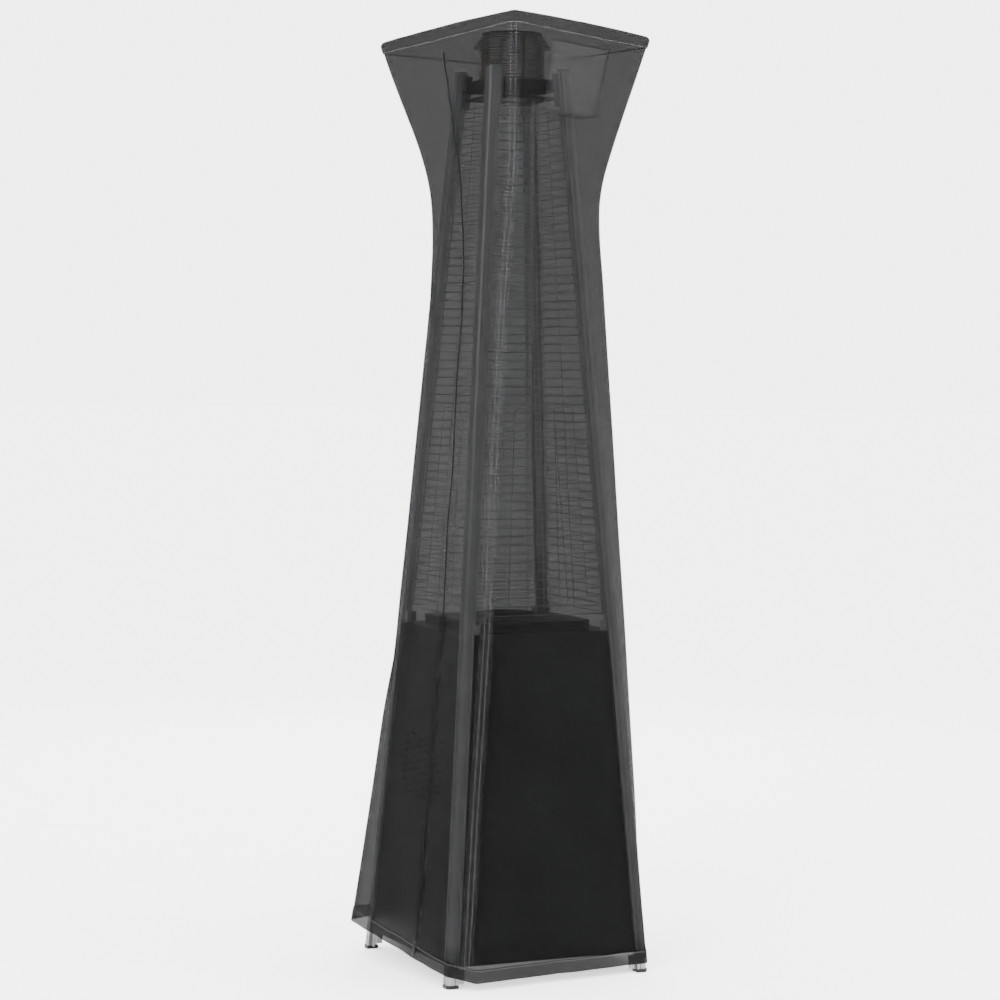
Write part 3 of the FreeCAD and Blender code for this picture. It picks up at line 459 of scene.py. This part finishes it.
grille = join("guard_front_wires", wires)
grille.rotation_euler = (math.pi / 2 - LEAN, 0, 0)
grille.location = (0, -POST_AT_FLOOR, 0)
settle(grille)
smooth(50)
grille.data.materials.clear()
grille.data.materials.append(plated_wire)
for quarter, side in enumerate(("front", "right", "back", "left")):
    guard = grille
    if quarter:
        guard = twin(grille)
        guard.name = guard.data.name = "guard_" + side + "_wires"
        guard.rotation_euler = (0, 0, quarter * math.pi / 2)
        settle(guard)
    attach(guard, "heater")
    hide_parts("guard_" + side)


# --- Top brackets -------------------------------------------------------------
# Zinc plated steel straps that tie the top support to the posts, two beside each post, each
# with a dark rivet through its middle.

BRACKET_LOW, BRACKET_HIGH, BRACKET_WIDE = 1.994, 2.072, 0.0155
BRACKET_FRONT, BRACKET_BACK = -0.0027, -0.0045      # off the guard's plane
parts = []
for side in (-1, 1):
    bpy.ops.mesh.primitive_cube_add(size=1)
    strap = bpy.context.object
    for v in strap.data.vertices:
        z = BRACKET_HIGH if v.co.y > 0 else BRACKET_LOW
        edge = post_line(z) - POST_BODY - 0.0004
        v.co = (side * (edge if v.co.x * side > 0 else edge - BRACKET_WIDE), z / math.cos(LEAN),
                BRACKET_FRONT if v.co.z > 0 else BRACKET_BACK)
    worn_edge = strap.modifiers.new("worn edge", "BEVEL")
    worn_edge.width, worn_edge.segments = 0.0003, 1
    bpy.ops.object.modifier_apply(modifier="worn edge")
    strap.data.materials.append(zinc)
    parts.append(strap)
    rivet_at = (BRACKET_LOW + BRACKET_HIGH) / 2
    bpy.ops.mesh.primitive_cylinder_add(vertices=16, radius=0.0036, depth=0.0020, location=(
        side * (post_line(rivet_at) - POST_BODY - 0.0082), rivet_at / math.cos(LEAN), -0.0020))
    parts.append(bpy.context.object)
    parts[-1].data.materials.append(coated)
corner_pair = join("top_bracket_straps", parts)
corner_pair.rotation_euler = (math.pi / 2 - LEAN, 0, 0)
corner_pair.location = (0, -POST_AT_FLOOR, 0)
settle(corner_pair)
parts = [corner_pair]
for quarter in (1, 2, 3):
    pair = twin(corner_pair)
    pair.rotation_euler = (0, 0, quarter * math.pi / 2)
    settle(pair)
    parts.append(pair)
brackets = join("top_bracket_straps", parts)
smooth(40)
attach(brackets, "heater")
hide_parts("top_brackets")


# --- Cover cloth --------------------------------------------------------------
# Storage cover sewn from thin see-through coated polyester: a tapering sleeve of four panels,
# a little turned on the heater and drawn in at the waist, hung from its top panel.


def voile_weave(name, low, high, cover):
    """Plain weave of fine black yarn that lets a share of the light straight through."""
    made, tree, coords = new_material(name)
    yarns = coords.node.outputs["UV"]
    # Real yarns lie 0.3 mm apart; they are drawn 1.4 mm apart so that the weave shows.
    warp = add(tree, "TexWave", {"Vector": yarns}, wave_type="BANDS", bands_direction="X",
               Scale=112.0, Distortion=0.6, Detail=2.0, Detail_Scale=2.0)
    weft = add(tree, "TexWave", {"Vector": yarns}, wave_type="BANDS", bands_direction="Y",
               Scale=112.0, Distortion=0.6, Detail=2.0, Detail_Scale=2.0)
    weave = add(tree, "Math", {0: warp.outputs["Fac"], 1: weft.outputs["Fac"]}, operation="ADD")
    rub = add(tree, "TexNoise", {"Vector": coords}, Scale=5.0, Detail=6.0)
    worn = add(tree, "Math", {0: weave, 2: rub}, operation="MULTIPLY_ADD")
    worn.inputs[1].default_value = 0.2
    tone = add(tree, "ValToRGB", {0: worn}, stops=((0.5, low), (0.95, high)))
    grain = add(tree, "Bump", {"Height": weave}, Strength=0.25, Distance=0.0003)
    shade = add(tree, "BsdfPrincipled", {"Base_Color": tone, "Normal": grain}, Roughness=0.85,
                Specular_IOR_Level=0.05, Alpha=cover)
    add(tree, "OutputMaterial", {"Surface": shade})
    return made


voile = voile_weave("see-through coated polyester voile", "#030303", "#080809", 0.645)

# height, half width and turn of the square section, and how far its middle stands off
COVER_ROWS = (
    (0.00, 0.2560, 13.5, -0.019, 0.008), (0.20, 0.2395, 13.5, -0.012, 0.0055),
    (0.40, 0.2255, 13.0, -0.004, 0.002), (0.60, 0.2104, 13.5, 0.002, 0.000),
    (0.80, 0.1920, 12.6, 0.013, -0.006), (1.00, 0.1780, 12.2, 0.017, -0.007),
    (1.20, 0.1668, 11.9, 0.018, -0.008), (1.40, 0.1558, 12.0, 0.0175, -0.0085),
    (1.50, 0.1519, 12.4, 0.0155, -0.0078), (1.60, 0.1480, 13.4, 0.014, -0.006),
    (1.70, 0.1428, 15.1, 0.0112, -0.0055), (1.80, 0.1443, 17.3, 0.009, -0.004),
    (1.90, 0.1637, 18.3, 0.009, -0.004), (2.00, 0.1896, 19.5, 0.005, -0.002),
    (2.10, 0.2150, 20.2, 0.0025, -0.001), (2.25, 0.2480, 20.0, 0.004, -0.002))
HEM_AT = (0.019, 0.023, 0.045, 0.084)       # hem height at the front, right, back and left corners
RIM_AT = (2.178, 2.157, 2.142, 2.137)       # the same for the foot of the top panel
CORNER_ROUND = 0.018
NOSE_AT, NOSE_ROUND = 0.003, 0.010
SNUG, LOOSE = 0.0036, 0.0056                # the cloth's least gap to the posts, and its usual one
HEM_TALL, BAND_TALL = 0.029, 0.020
COLUMNS, ROWS = 60, 168                     # columns on each face, rows from hem to rim
CLOTH = 0.0010


def cover_row(z):
    """Smoothed half width, turn and middle of the cover's square section at height z."""
    total = [0.0] * 4
    for shift in (-0.045, -0.03, -0.015, 0.0, 0.015, 0.03, 0.045):
        at = min(max(z + shift, COVER_ROWS[0][0]), COVER_ROWS[-1][0])
        low, high = next(pair for pair in zip(COVER_ROWS, COVER_ROWS[1:]) if at <= pair[1][0])
        share = (at - low[0]) / (high[0] - low[0])
        for i in range(4):
            total[i] += (low[i + 1] + (high[i + 1] - low[i + 1]) * share) / 7
    return total


def hull(points):
    """Convex outline of flat points, counter-clockwise."""
    points = sorted(points)
    halves = []
    for run in (points, points[::-1]):
        chain = []
        for p in run:
            while len(chain) > 1 and ((chain[-1][0] - chain[-2][0]) * (p[1] - chain[-2][1])
                                      <= (chain[-1][1] - chain[-2][1]) * (p[0] - chain[-2][0])):
                chain.pop()
            chain.append(p)
        halves.append(chain[:-1])
    return halves[0] + halves[1]


def reach_of(outline, middle, angle):
    """Distance from the middle to a convex outline in one direction."""
    ux, uy = math.cos(angle), math.sin(angle)
    best = 9.0
    for (x0, y0), (x1, y1) in zip(outline, outline[1:] + outline[:1]):
        nx, ny = y1 - y0, x0 - x1
        facing = nx * ux + ny * uy
        if facing > 1e-9:
            best = min(best, (nx * (x0 - middle[0]) + ny * (y0 - middle[1])) / facing)
    return best


def post_points(z, gap):
    """Outline points of the four posts, grown by a gap."""
    at = post_line(min(z, POST_HEAD))
    points = []
    for sx, sy in ((-1, -1), (1, -1), (1, 1), (-1, 1)):
        for step in range(5):
            angle = math.radians(22.5 * step)
            points.append((sx * (at + NOSE_AT + (NOSE_ROUND + gap) * math.cos(angle)),
                           sy * (at + NOSE_AT + (NOSE_ROUND + gap) * math.sin(angle))))
        points += [(sx * (at - POST_BODY), sy * (at + POST_BODY + gap)),
                   (sx * (at + POST_BODY + gap), sy * (at - POST_BODY))]
    return points


def square_points(half, turn, middle):
    """Outline points of the turned square with rounded corners."""
    points = []
    for corner in range(4):
        for step in range(9):
            angle = math.radians(180 + 90 * corner + 11.25 * step)
            sx, sy = ((-1, -1), (1, -1), (1, 1), (-1, 1))[corner]
            x = sx * (half - CORNER_ROUND) + CORNER_ROUND * math.cos(angle)
            y = sy * (half - CORNER_ROUND) + CORNER_ROUND * math.sin(angle)
            spin = math.radians(turn)
            points.append((middle[0] + x * math.cos(spin) - y * math.sin(spin),
                           middle[1] + x * math.sin(spin) + y * math.cos(spin)))
    return points


# Columns crowd towards the corners; each is a face number and a share from -1 to 1 across it.
across_face = []
for i in range(COLUMNS):
    t = 2 * i / COLUMNS - 1
    across_face.append(0.6 * math.sin(math.pi / 2 * t) + 0.4 * t)
columns = [(face, share) for face in range(4) for share in across_face]

LEVEL_STEP = 0.02
levels = []
for n in range(112):
    z = n * LEVEL_STEP
    half, turn, x, y = cover_row(z)
    snug = hull(post_points(z, SNUG))
    loose = hull(square_points(half, turn, (x, y)) + post_points(z, LOOSE))
    ring = []
    for face, share in columns:
        angle = math.radians(270 + 90 * face + turn) + math.atan(share)
        ring.append((x, y, angle, reach_of(loose, (x, y), angle), reach_of(snug, (x, y), angle)))
    levels.append(ring)


def ease(low, high, value):
    share = min(max((value - low) / (high - low), 0), 1)
    return share * share * (3 - 2 * share)


def between_corners(heights, column, rise=0.0):
    """Height at a column from the four corner heights, arched by a rise between them."""
    face, share = columns[column % len(columns)]
    low, high = heights[face], heights[(face + 1) % 4]
    return low + (high - low) * (share + 1) / 2 + rise * (1 - share * share)


def creases(face, share, z):
    """How far the hung cloth stands in or out of its taut line."""
    way = math.pi / 4 * (2 * face + share)
    twist = way + 0.5 * z
    taut = 1 - share ** 4
    sag = -0.0035 * taut
    folds = 0.0040 * noise.noise(Vector((3.9 * math.cos(way), 3.9 * math.sin(way), z * 0.9 + 2.1)))
    pull = 0.0030 * noise.noise(Vector((7.5 * math.cos(twist), 7.5 * math.sin(twist), z * 5.5)))
    flare = 0.0045 * noise.noise(Vector((6.3 * math.cos(way), 6.3 * math.sin(way), z * 2.0 + 5.7)))
    waist = math.exp(-((z - 1.72) / 0.22) ** 2) + 0.5 * ease(1.95, 2.1, z)
    return sag + (folds + pull * waist + flare * (1 - ease(0.0, 0.5, z))) * (0.35 + 0.65 * taut)


def cloth_spot(column, z):
    """Point on the cover's cloth at a column and height."""
    level = min(max(z / LEVEL_STEP, 0), len(levels) - 2)
    n = int(level)
    mix = level - n
    low, high = levels[n][column % len(columns)], levels[n + 1][column % len(columns)]
    x, y, angle, reach, least = (a + (b - a) * mix for a, b in zip(low, high))
    face, share = columns[column % len(columns)]
    reach = max(reach + creases(face, share, z), least)
    return Vector((x + reach * math.cos(angle), y + reach * math.sin(angle), z))


def on_cloth(turn, z):
    """The same at a place between columns: turn counts them round from the front corner."""
    n = math.floor(turn)
    return cloth_spot(n, z).lerp(cloth_spot(n + 1, z), turn - n)


def cloth_normal(turn, z):
    side = on_cloth(turn + 1.5, z) - on_cloth(turn - 1.5, z)
    rise = on_cloth(turn, z + 0.012) - on_cloth(turn, z - 0.012)
    return side.cross(rise).normalized()


def sheet_mesh(name, rows, material, thick, closed=False, pole=None, turned=60, window=None):
    """Sheet from rows of points, its UV map in metres, thickened inward; a pole closes the last row.

    A window (first and last row, first and last column) is left open in it."""
    shell = bmesh.new()
    count = len(rows[0])
    grid = [[shell.verts.new(p) for p in row] for row in rows]
    uv = shell.loops.layers.uv.new("UVMap")
    wide = [0.0]
    middle = rows[len(rows) // 2]
    for i in range(count):
        wide.append(wide[-1] + (middle[(i + 1) % count] - middle[i]).length)
    tall = [0.0]
    for low, high in zip(rows, rows[1:]):
        tall.append(tall[-1] + (high[count // 2] - low[count // 2]).length)
    for r in range(len(rows) - 1):
        for i in range(count if closed else count - 1):
            j = (i + 1) % count
            if window and window[0] <= r < window[1] and window[2] <= i < window[3]:
                continue
            face = shell.faces.new((grid[r][i], grid[r][j], grid[r + 1][j], grid[r + 1][i]))
            face.smooth = True
            for loop, place in zip(face.loops, ((wide[i], tall[r]), (wide[i + 1], tall[r]),
                                                (wide[i + 1], tall[r + 1]), (wide[i], tall[r + 1]))):
                loop[uv].uv = place
    if pole is not None:
        tip = shell.verts.new(pole)
        for i in range(count):
            face = shell.faces.new((grid[-1][i], grid[-1][(i + 1) % count], tip))
            face.smooth = True
            for loop, place in zip(face.loops, ((wide[i], tall[-1]), (wide[i + 1], tall[-1]),
                                                ((wide[i] + wide[i + 1]) / 2, tall[-1] + 0.006))):
                loop[uv].uv = place
    bmesh.ops.delete(shell, geom=[v for v in shell.verts if not v.link_faces], context="VERTS")
    mesh = bpy.data.meshes.new(name)
    shell.to_mesh(mesh)
    shell.free()
    piece = new_object(name, mesh)
    mesh.materials.append(material)
    pick(piece)
    wall = piece.modifiers.new("thickness", "SOLIDIFY")
    wall.thickness, wall.offset = thick, -1.0
    bpy.ops.object.modifier_apply(modifier="thickness")
    smooth(turned)
    return piece


around = range(4 * COLUMNS)
hem_z = [between_corners(HEM_AT, c) for c in around]
rim_z = [between_corners(RIM_AT, c) for c in around]


def row_height(turn, row):
    """Height of the sleeve's row at a turn."""
    n, mix = int(turn), turn - int(turn)
    m = (n + 1) % len(hem_z)
    foot_z = hem_z[n] + (hem_z[m] - hem_z[n]) * mix + HEM_TALL - 0.002
    head_z = rim_z[n] + (rim_z[m] - rim_z[n]) * mix - BAND_TALL + 0.001
    return foot_z + (head_z - foot_z) * row / ROWS


rows = [[cloth_spot(c, row_height(c, r)) for c in around] for r in range(ROWS + 1)]
VENT_ROWS, VENT_COLUMNS = (154, 166), (20, 40)      # the window behind the vent net
skirt = sheet_mesh("cover_skirt_cloth", rows, voile, CLOTH, closed=True,
                   window=VENT_ROWS + VENT_COLUMNS)
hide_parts("cover_skirt")


# --- Cover hem ----------------------------------------------------------------
# A 29 mm band of the same cloth, folded over the foot of the sleeve and stitched to it, so it
# looks a little darker than the wall above it.

bound = voile_weave("folded voile hem and seam facing", "#0b0b0b", "#141415", 0.785)


def lifted(turn, z, lift):
    """Point that stands off the cloth by a lift."""
    return on_cloth(turn, z) + cloth_normal(turn, z) * lift


rows = [[lifted(c, hem_z[c] - 0.0015 + (HEM_TALL + 0.0015) * r / 4, 0.0014) for c in around]
        for r in range(5)]
hem = sheet_mesh("cover_hem_band", rows, bound, 0.0012, closed=True)
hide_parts("cover_hem")


# --- Front seam ---------------------------------------------------------------
# The sleeve is closed by one felled seam down its front corner, a 40 mm facing laid flat over
# the join. It lies over the corner at the top and a little to its left lower down.

SEAM_WIDE = 0.040
SEAM_DRIFT = 0.030          # how far left of the corner the seam lies at the hem


def turn_at(face, share):
    """Turn, counted in columns, at a share from -1 to 1 across a face."""
    i = sum(1 for s in across_face if s <= share) - 1
    step = (across_face[i + 1] if i + 1 < COLUMNS else 1.0) - across_face[i]
    return face * COLUMNS + i + (share - across_face[i]) / step


def seam_turn(z, offset):
    """Turn at a distance from the seam's middle; the seam drifts left of the corner lower down."""
    away = SEAM_DRIFT * (1 - ease(0.9, 1.9, z)) - offset
    share = 1 - away / cover_row(z)[0]
    if share > 1:
        return turn_at(0, share - 2)
    return turn_at(3, share) % (4 * COLUMNS)


SEAM_ROWS = 120
seam_low, seam_high = hem_z[0] + HEM_TALL + 0.002, rim_z[0] - BAND_TALL - 0.002
seam_z = [seam_low + (seam_high - seam_low) * r / SEAM_ROWS for r in range(SEAM_ROWS + 1)]
rows = [[lifted(seam_turn(z, (i / 8 - 0.5) * SEAM_WIDE), z, 0.0022) for i in range(9)]
        for z in seam_z]
facing = voile_weave("voile seam facing", "#222223", "#303031", 0.08)
seam = sheet_mesh("cover_front_seam", rows, facing, 0.0008)


# --- Top panel ----------------------------------------------------------------
# The square top panel lies on the flue head's lid and falls to a rounded edge, where it turns
# down 20 mm over the sleeve. A piping cord shows as a pale line at its foot.

lining = voile_weave("heavier see-through polyester", "#030303", "#080809", 0.665)
PEAK = Vector((0.002, -0.001, 2.192))
TOP_LIFT, EDGE_ROUND, LID = 0.0026, 0.007, 2.1705
arch_z = [between_corners(RIM_AT, c, 0.0045) - 0.004 for c in around]
rows = []
for share in (0, 0.33, 0.66, 1):
    rows.append([lifted(c, rim_z[c] - BAND_TALL + (arch_z[c] - rim_z[c] + BAND_TALL) * share,
                        TOP_LIFT) for c in around])
for lean in (0.35, 0.7, 1.0):
    bend = math.radians(90 * lean)
    rows.append([lifted(c, arch_z[c], TOP_LIFT - EDGE_ROUND * (1 - math.cos(bend)))
                 + Vector((0, 0, EDGE_ROUND * math.sin(bend))) for c in around])
edge = rows[-1]
RINGS = 34
for ring in range(1, RINGS):
    share = 1 - ring / RINGS
    row = []
    for c in around:
        spot = PEAK.lerp(edge[c], share)
        belly = 0.001 * math.sin(math.pi * share)
        ripple = 0.002 * noise.noise(Vector((spot.x * 9, spot.y * 9, 4.4))) * math.sin(math.pi * share)
        spot.z = max(spot.z - belly + ripple, LID if share < 0.42 else 0)
        row.append(spot)
    rows.append(row)
top = sheet_mesh("cover_top_panel", rows, lining, CLOTH, closed=True, pole=PEAK, turned=70)
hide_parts("cover_hood")


# --- Piping -------------------------------------------------------------------
# A 1.6 mm cord in a pale grey bias strip, caught in the seam at the foot of the top panel's edge.

piped, tree, coords = new_material("pale grey woven bias piping")
twill = add(tree, "TexNoise", {"Vector": coords}, Scale=700.0, Detail=2.0)
tone = add(tree, "ValToRGB", {0: twill}, stops=((0, "#5e5e5f"), (1, "#747475")))
grain = add(tree, "Bump", {"Height": twill}, Strength=0.4, Distance=0.0003)
shade = add(tree, "BsdfPrincipled", {"Base_Color": tone, "Normal": grain}, Roughness=0.8,
            Specular_IOR_Level=0.1, Alpha=0.15)
add(tree, "OutputMaterial", {"Surface": shade})


def cord_mesh(name, points, radius, material, cyclic=False):
    """Round tube along points, as a mesh."""
    line = bpy.data.curves.new(name, "CURVE")
    line.dimensions = "3D"
    spline = line.splines.new("POLY")
    spline.points.add(len(points) - 1)
    for place, point in zip(spline.points, points):
        place.co = (*point, 1)
    spline.use_cyclic_u = cyclic
    line.bevel_depth, line.bevel_resolution, line.use_fill_caps = radius, 1, True
    piece = new_object(name, line)
    pick(piece)
    bpy.ops.object.convert(target="MESH")
    piece = bpy.context.object
    piece.data.materials.clear()
    piece.data.materials.append(material)
    smooth(60)
    return piece


piping = cord_mesh("cover_piping", [lifted(c, rim_z[c] - BAND_TALL - 0.0006, 0.0032) for c in around],
                   0.0008, piped, cyclic=True)


# --- Zip ----------------------------------------------------------------------
# Nylon coil zip sewn down the left panel: two woven tapes and a black interlocked coil 4 mm
# across, from the hem to the top panel.

tape_cloth, tree, coords = new_material("black woven zip tape", "UV")
herring = add(tree, "TexWave", {"Vector": coords}, wave_type="BANDS", bands_direction="DIAGONAL",
              Scale=160.0, Distortion=0.4)
tone = add(tree, "ValToRGB", {0: herring.outputs["Fac"]}, stops=((0, "#0f0f10"), (1, "#1b1b1c")))
grain = add(tree, "Bump", {"Height": herring.outputs["Fac"]}, Strength=0.3, Distance=0.0003)
shade = add(tree, "BsdfPrincipled", {"Base_Color": tone, "Normal": grain}, Roughness=0.8,
            Specular_IOR_Level=0.02, Alpha=0.05)
add(tree, "OutputMaterial", {"Surface": shade})

coil_nylon, tree, coords = new_material("black nylon zip coil", "UV")
# The coil's 1.3 mm pitch is drawn at 3 mm.
turns_of = add(tree, "TexWave", {"Vector": coords}, wave_type="BANDS", bands_direction="Y",
               Scale=52.0)
tone = add(tree, "ValToRGB", {0: turns_of.outputs["Fac"]}, stops=((0, "#0b0b0c"), (1, "#111112")))
grain = add(tree, "Bump", {"Height": turns_of.outputs["Fac"]}, Strength=0.8, Distance=0.0008)
shade = add(tree, "BsdfPrincipled", {"Base_Color": tone, "Normal": grain}, Roughness=0.8,
            Specular_IOR_Level=0.02)
add(tree, "OutputMaterial", {"Surface": shade})

tape_points = {}
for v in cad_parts["zip_tape"].data.vertices:
    tape_points.setdefault(round(v.co.z, 3), []).append(v.co)
tape_line = sorted((z, sum(p.x for p in found) / len(found), sum(p.y for p in found) / len(found))
                   for z, found in tape_points.items())


def zip_turn(z, offset=0.0):
    """Turn at which the zip passes height z, or at a distance to one side of it."""
    z_on = min(max(z, tape_line[0][0]), tape_line[-1][0])
    low, high = next(pair for pair in zip(tape_line, tape_line[1:]) if z_on <= pair[1][0])
    share = (z_on - low[0]) / (high[0] - low[0])
    half, turn, x, y = cover_row(z)
    px, py = low[1] + (high[1] - low[1]) * share - x, low[2] + (high[2] - low[2]) * share - y
    angle = (math.degrees(math.atan2(py, px)) - turn - 180) % 360
    place = math.tan(math.radians(angle if angle < 180 else angle - 360))
    sway = 0.016 * ease(2.0, 2.14, z) - 0.024 * ease(1.6, 1.88, z) * (1 - ease(1.9, 2.04, z))
    return turn_at(3, min(max(place + (offset + sway) / half, -0.999), 0.999))


ZIP_FOOT, ZIP_HEAD = 0.058, 2.106
TAPE_WIDE, COIL_WIDE = 0.026, 0.0042


def zip_lift(z):
    """The zip's stand off the sleeve: it rides over the hem at its foot."""
    return 0.0011 + 0.0014 * (1 - ease(0.080, 0.100, z))


zip_z = [ZIP_FOOT + (ZIP_HEAD - ZIP_FOOT) * r / 130 for r in range(131)]
rows = [[lifted(zip_turn(z, (i / 6 - 0.5) * TAPE_WIDE), z, zip_lift(z)) for i in range(7)]
        for z in zip_z]
tape = sheet_mesh("cover_zip_tape", rows, tape_cloth, 0.0005)
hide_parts("zip_tape")
rows = [[lifted(zip_turn(z, (i / 4 - 0.5) * COIL_WIDE), z,
                zip_lift(z) + 0.0011 + 0.0012 * (1 - (i / 2 - 1) ** 2)) for i in range(5)]
        for z in zip_z]
coil = sheet_mesh("cover_zip_coil", rows, coil_nylon, 0.0009)


# --- Zip slider ---------------------------------------------------------------
# Die cast slider at the zip's foot, sprayed black: a tapered body in two plates with a core
# between them, a bridge over the front plate, and a flat pull tab hanging from the bridge.

sprayed, tree, coords = new_material("black sprayed zinc casting")
chips = add(tree, "TexNoise", {"Vector": coords}, Scale=500.0, Detail=4.0)
tone = add(tree, "ValToRGB", {0: chips}, stops=((0.4, "#101011"), (0.85, "#232325")))
shade = add(tree, "BsdfPrincipled", {"Base_Color": tone}, Roughness=0.6, Specular_IOR_Level=0.1)
add(tree, "OutputMaterial", {"Surface": shade})


def slider_part(size, place, taper=1.0):
    """Rounded block of the slider, narrowed at its foot by the taper."""
    bpy.ops.mesh.primitive_cube_add(size=1, location=place)
    part = bpy.context.object
    part.scale = size
    settle(part)
    for v in part.data.vertices:
        if v.co.y < place[1]:
            v.co.x *= taper
    soft = part.modifiers.new("soft", "BEVEL")
    soft.width, soft.segments = min(size) * 0.3, 2
    bpy.ops.object.modifier_apply(modifier="soft")
    return part


slider_z = 0.0765
parts = [slider_part((0.013, 0.017, 0.0012), (0, 0, 0.0006), 0.75),
         slider_part((0.013, 0.017, 0.0012), (0, 0, 0.0042), 0.75),
         slider_part((0.0024, 0.006, 0.0030), (0, 0.004, 0.0024)),
         slider_part((0.0026, 0.011, 0.0010), (0, 0, 0.0068)),
         slider_part((0.0026, 0.0018, 0.0030), (0, 0.0046, 0.0058)),
         slider_part((0.0026, 0.0018, 0.0030), (0, -0.0046, 0.0058)),
         slider_part((0.0066, 0.026, 0.0012), (0, -0.0160, 0.0056), 1.15)]
slider = join("cover_zip_slider", parts)
at = zip_turn(slider_z)
out_of = cloth_normal(at, slider_z)
up = on_cloth(zip_turn(slider_z + 0.02), slider_z + 0.02) - on_cloth(at, slider_z)
up = (up - out_of * up.dot(out_of)).normalized()
slider.matrix_world = (Matrix.Translation(lifted(at, slider_z, 0.0020))
                       @ Matrix((up.cross(out_of), up, out_of)).transposed().to_4x4())
settle(slider)
slider.data.materials.clear()
slider.data.materials.append(sprayed)
smooth(40)
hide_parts("zip_slider")


# --- Vent ---------------------------------------------------------------------
# A net panel lets the cover breathe high on its front. A cloth flap is sewn over it along the
# top and hangs a little proud, its foot free and curved. A dark rolled hem along its foot is
# partly a real folded hem and partly painted shadow under the free foot.

net, tree, coords = new_material("black knitted vent net", "UV")
# Real holes lie about 1.5 mm apart; they are drawn 3.6 mm apart so that they show.
holes = add(tree, "TexVoronoi", {"Vector": coords}, Scale=280.0, Randomness=0.2)
tone = add(tree, "ValToRGB", {0: holes}, stops=((0, "#060606"), (1, "#111112")))
grain = add(tree, "Bump", {"Height": holes}, Strength=0.4, Distance=0.0004)
shade = add(tree, "BsdfPrincipled", {"Base_Color": tone, "Normal": grain}, Roughness=0.8,
            Specular_IOR_Level=0.05, Alpha=0.59)
add(tree, "OutputMaterial", {"Surface": shade})

single = voile_weave("single see-through voile", "#1b1b1c", "#29292a", 0.18)

VENT_WIDE, FLAP_FOOT, FLAP_HEAD = 0.190, 1.966, 2.100
OVER_ROWS, OVER_COLUMNS = 0.2, 0.25         # how far the net reaches past its window
rows = []
for step in range(25):
    r = VENT_ROWS[0] - OVER_ROWS + (VENT_ROWS[1] - VENT_ROWS[0] + 2 * OVER_ROWS) * step / 24
    turns = [VENT_COLUMNS[0] - OVER_COLUMNS
             + (VENT_COLUMNS[1] - VENT_COLUMNS[0] + 2 * OVER_COLUMNS) * i / 22 for i in range(23)]
    rows.append([lifted(turn, row_height(turn, r), 0.0010) for turn in turns])
vent = sheet_mesh("cover_vent_net", rows, net, 0.0007)

rows = []
for r in range(17):
    down = 1 - r / 16
    row = []
    for i in range(25):
        u = i / 12 - 1
        z = FLAP_HEAD - (FLAP_HEAD - FLAP_FOOT) * down + 0.009 * down * u * u
        x = u * VENT_WIDE / 2 * (0.97 + 0.04 * down)
        stand = 0.0022 + 0.0150 * (1 - u * u) * (0.15 + 0.85 * down ** 0.8) + 0.004 * down
        stand += 0.0020 * noise.noise(Vector((u * 2.2, down * 3, 1.3))) * down
        row.append(lifted(turn_at(0, x / cover_row(z)[0]), z, stand))
    rows.append(row)
flap = sheet_mesh("cover_vent_flap", rows, single, CLOTH)
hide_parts("vent_flap")
# Rolled hem along the flap's foot in the dark hem cloth: a folded hem, drawn dark as painted shadow
# under the free foot.
roll = cord_mesh("cover_flap_hem_and_shadow", [p + Vector((0, -0.0004, 0)) for p in rows[0]], 0.0012, bound)


# --- Stitching ----------------------------------------------------------------
# Grey polyester thread: two rows down the front seam and one round the hem. The 4 mm
# stitches are drawn fat and 8 mm apart so that they show.

thread, tree, coords = new_material("pale grey polyester thread")
ply = add(tree, "TexNoise", {"Vector": coords}, Scale=900.0, Detail=2.0)
tone = add(tree, "ValToRGB", {0: ply}, stops=((0, "#565657"), (1, "#646465")))
shade = add(tree, "BsdfPrincipled", {"Base_Color": tone}, Roughness=0.6, Specular_IOR_Level=0.3)
add(tree, "OutputMaterial", {"Surface": shade})

STITCH_LONG, STITCH_PITCH, STITCH_WIDE, STITCH_TALL = 0.0044, 0.0080, 0.0014, 0.0006


def stitch_row(shell, line):
    """Adds stitches along a line of (turn, height, lift)."""
    places = [lifted(*spot) for spot in line]
    normals = [cloth_normal(spot[0], spot[1]) for spot in line]
    walked, due = 0.0, STITCH_PITCH / 2
    for n in range(len(places) - 1):
        run = places[n + 1] - places[n]
        while due <= walked + run.length:
            share = (due - walked) / run.length
            middle = places[n].lerp(places[n + 1], share)
            along, out_of = run.normalized(), normals[n].lerp(normals[n + 1], share).normalized()
            side = out_of.cross(along)
            tips = [shell.verts.new(middle + along * STITCH_LONG / 2 * way) for way in (-1, 1)]
            belt = [shell.verts.new(middle + side * STITCH_WIDE / 2 * a + out_of * STITCH_TALL * b)
                    for a, b in ((1, 0), (0, 1), (-1, 0), (0, -1))]
            for k in range(4):
                shell.faces.new((belt[k], belt[(k + 1) % 4], tips[0]))
                shell.faces.new((belt[(k + 1) % 4], belt[k], tips[1]))
            due += STITCH_PITCH
        walked += run.length


shell = bmesh.new()
for offset in (-0.007, 0.007):
    stitch_row(shell, [(seam_turn(z, offset), z, 0.0023) for z in seam_z])
stitch_row(shell, [(c, hem_z[c % len(hem_z)] + HEM_TALL - 0.003, 0.0017)
                   for c in range(4 * COLUMNS + 1)])
bmesh.ops.recalc_face_normals(shell, faces=shell.faces)
mesh = bpy.data.meshes.new("cover_stitching")
shell.to_mesh(mesh)
shell.free()
stitching = new_object("cover_stitching", mesh)
mesh.materials.append(thread)

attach(slider, "zip")
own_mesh(slider)

# The whole cover lifts off together.
for piece in (skirt, hem, seam, tape, coil, vent, flap, roll, stitching):
    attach(piece, "cover")
    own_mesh(piece)
for piece in (top, piping):
    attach(piece, "cover")
